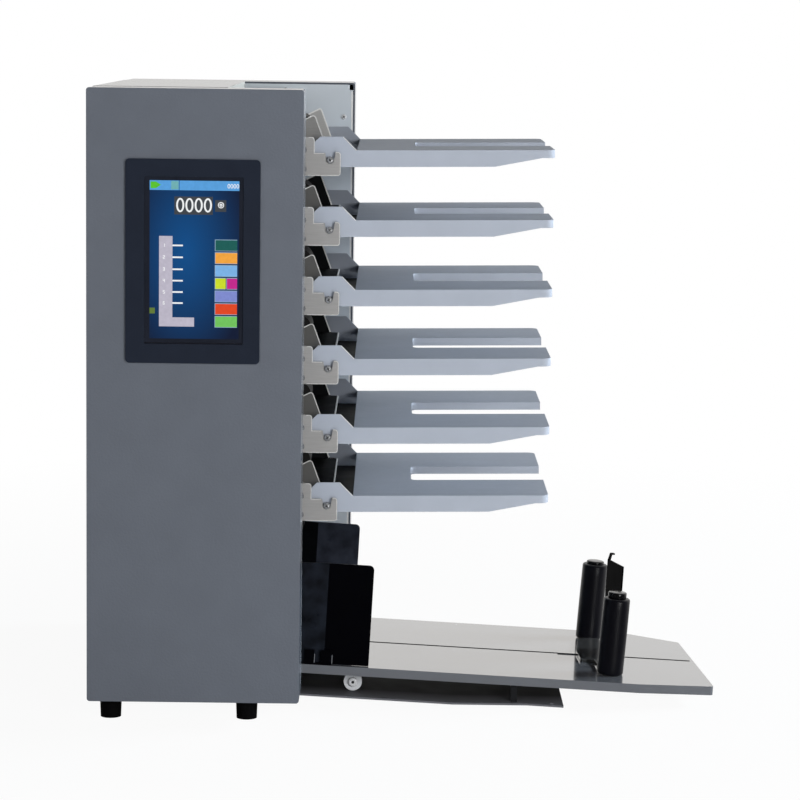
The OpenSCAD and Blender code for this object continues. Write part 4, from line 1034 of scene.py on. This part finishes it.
def make_contacts():
    contacts = Shape()
    for k in (-1, 0, 1):
        x = INLET_X + CONTACT_STEP * k
        contacts.block(
            (x - CONTACT_W / 2, REAR_BACK - CONTACT_DEEP, CONTACT_Z - CONTACT_H / 2),
            (x + CONTACT_W / 2, REAR_BACK - CONTACT_FRONT, CONTACT_Z + CONTACT_H / 2),
        )
    contacts.make("inlet_contacts", bright, "frame", "black_plastic")


make_contacts()


# Light, floor and backdrop

# Brightness of the room in front of the machine and of the lit backdrop behind it, as mirrors and as
# paint see it, and the share of it that is left for paint at the ceiling
MIRROR_FRONT, MIRROR_BACK = 0.05, 1.0
ROOM_FRONT, ROOM_BACK, CEILING = 0.15, 0.65, 0.05
ROOM_WHITE, PURE_WHITE = (0.98, 0.99, 1.0, 1), (1, 1, 1, 1)
# Where front goes over to back and wall to ceiling, as parts of a direction
TO_BACK, TO_CEILING = (-0.1, 0.3), (0.15, 0.6)
# The floor, in metres: half its size, its drop below the feet, where front goes over to back, and
# between which distances it goes over to pure white
FLOOR_HALF, FLOOR_DROP, FLOOR_TO_BACK, FLOOR_TO_WHITE = 6, 0.0004, (-0.2, 0.5), (0.5, 1.6)
FLOOR_PALE, FLOOR_NEAR = (0.88, 0.88, 0.88, 1), 0.94


class Rays:
    """Picks out kinds of rays in a node tree."""

    def __init__(self, tree):
        self.tree = tree
        kinds = tree.nodes.new("ShaderNodeLightPath").outputs
        self.mirrored = kinds["Is Glossy Ray"]
        self.direct = combine(tree, "MAXIMUM", kinds["Is Camera Ray"], kinds["Is Transmission Ray"])

    def pick(self, share, otherwise, chosen):
        mix = self.tree.nodes.new("ShaderNodeMixShader")
        self.tree.links.new(share, mix.inputs["Fac"])
        self.tree.links.new(otherwise, mix.inputs[1])
        self.tree.links.new(chosen, mix.inputs[2])
        return mix.outputs[0]


def make_world():
    world = bpy.data.worlds.new("studio")
    world.use_nodes = True
    scene.world = world
    tree = world.node_tree
    rays = Rays(tree)
    way = tree.nodes.new("ShaderNodeTexCoord").outputs["Generated"]

    def background(colour):
        node = tree.nodes.new("ShaderNodeBackground")
        node.inputs["Color"].default_value = colour
        return node

    def graded(front, back, above, colour):
        node = background(colour)
        depth = ranged(tree, along(tree, way, "Y"), front, back, *TO_BACK)
        height = ranged(tree, along(tree, way, "Z"), 1, above, *TO_CEILING)
        tree.links.new(combine(tree, "MULTIPLY", depth, height), node.inputs["Strength"])
        return node.outputs[0]
    room = graded(ROOM_FRONT, ROOM_BACK, CEILING, ROOM_WHITE)
    mirror = graded(MIRROR_FRONT, MIRROR_BACK, 1, WARM_WHITE)
    out = rays.pick(rays.mirrored, room, mirror)
    out = rays.pick(rays.direct, out, background(PURE_WHITE).outputs[0])
    tree.links.new(out, tree.nodes["World Output"].inputs["Surface"])


def floor_paper():
    """Pale paper that turns white with distance; mirrors see it lit from the back."""
    paper = Surface("floor_paper", FLOOR_PALE, 0.9, bevel=0).mottle(200, 0.01)
    rays = Rays(paper.tree)
    mirror = paper.add("ShaderNodeEmission")
    mirror.inputs["Color"].default_value = WARM_WHITE
    depth = along(paper.tree, paper.place, "Y")
    strength = paper.spread(depth, MIRROR_FRONT, MIRROR_BACK, *FLOOR_TO_BACK)
    paper.link(strength, mirror.inputs["Strength"])
    seen = paper.add("ShaderNodeEmission")
    seen.inputs["Strength"].default_value = 1.0
    far = paper.add("ShaderNodeVectorMath")
    far.operation = "LENGTH"
    paper.link(paper.place, far.inputs[0])
    white_share = paper.spread(far.outputs["Value"], FLOOR_NEAR, 1, *FLOOR_TO_WHITE)
    out = rays.pick(rays.mirrored, paper.shader.outputs[0], mirror.outputs[0])
    share = combine(paper.tree, "MULTIPLY", rays.direct, white_share)
    out = rays.pick(share, out, seen.outputs[0])
    paper.link(out, paper.tree.nodes["Material Output"].inputs["Surface"])
    return paper


def make_floor():
    s = FLOOR_HALF
    mesh = bpy.data.meshes.new("floor")
    mesh.from_pydata([(-s, -s, 0), (s, -s, 0), (s, s, 0), (-s, s, 0)], [], [(0, 1, 2, 3)])
    floor = bpy.data.objects.new("floor", mesh)
    scene.collection.objects.link(floor)
    floor.location.z = -FLOOR_DROP
    mesh.materials.append(floor_paper().mat)


def make_lamp(name, spot, target, size, power, colour=(1, 1, 1), mirrored=False):
    """A soft lamp; places and sizes are in metres, the power is in watts."""
    data = bpy.data.lights.new(name, "AREA")
    data.color = colour
    data.shape = "RECTANGLE"
    data.size, data.size_y = size
    data.energy = power
    lamp = bpy.data.objects.new(name, data)
    scene.collection.objects.link(lamp)
    lamp.visible_glossy = mirrored
    lamp.location = Vector(spot)
    lamp.rotation_euler = (Vector(target) - lamp.location).to_track_quat("-Z", "Y").to_euler()


TOWER_MIDDLE, COOL_LIGHT = (0, 0, 0.35), (0.82, 0.92, 1)

make_world()
make_floor()
make_lamp("key", (1.3, -2.7, 0.95), TOWER_MIDDLE, size=(1.4, 1.0), power=53)
make_lamp("fill", (-1.1, -2.9, 0.85), TOWER_MIDDLE, size=(1.6, 1.0), power=14)
make_lamp("side", (2.5, 0.7, 0.9), (0.05, 0, 0.32), size=(1.2, 0.3), power=100, colour=COOL_LIGHT)
make_lamp("strip", (1.1, -2.1, 0.16), (0.2, 0, 0.08), size=(0.5, 0.3), power=6, mirrored=True)
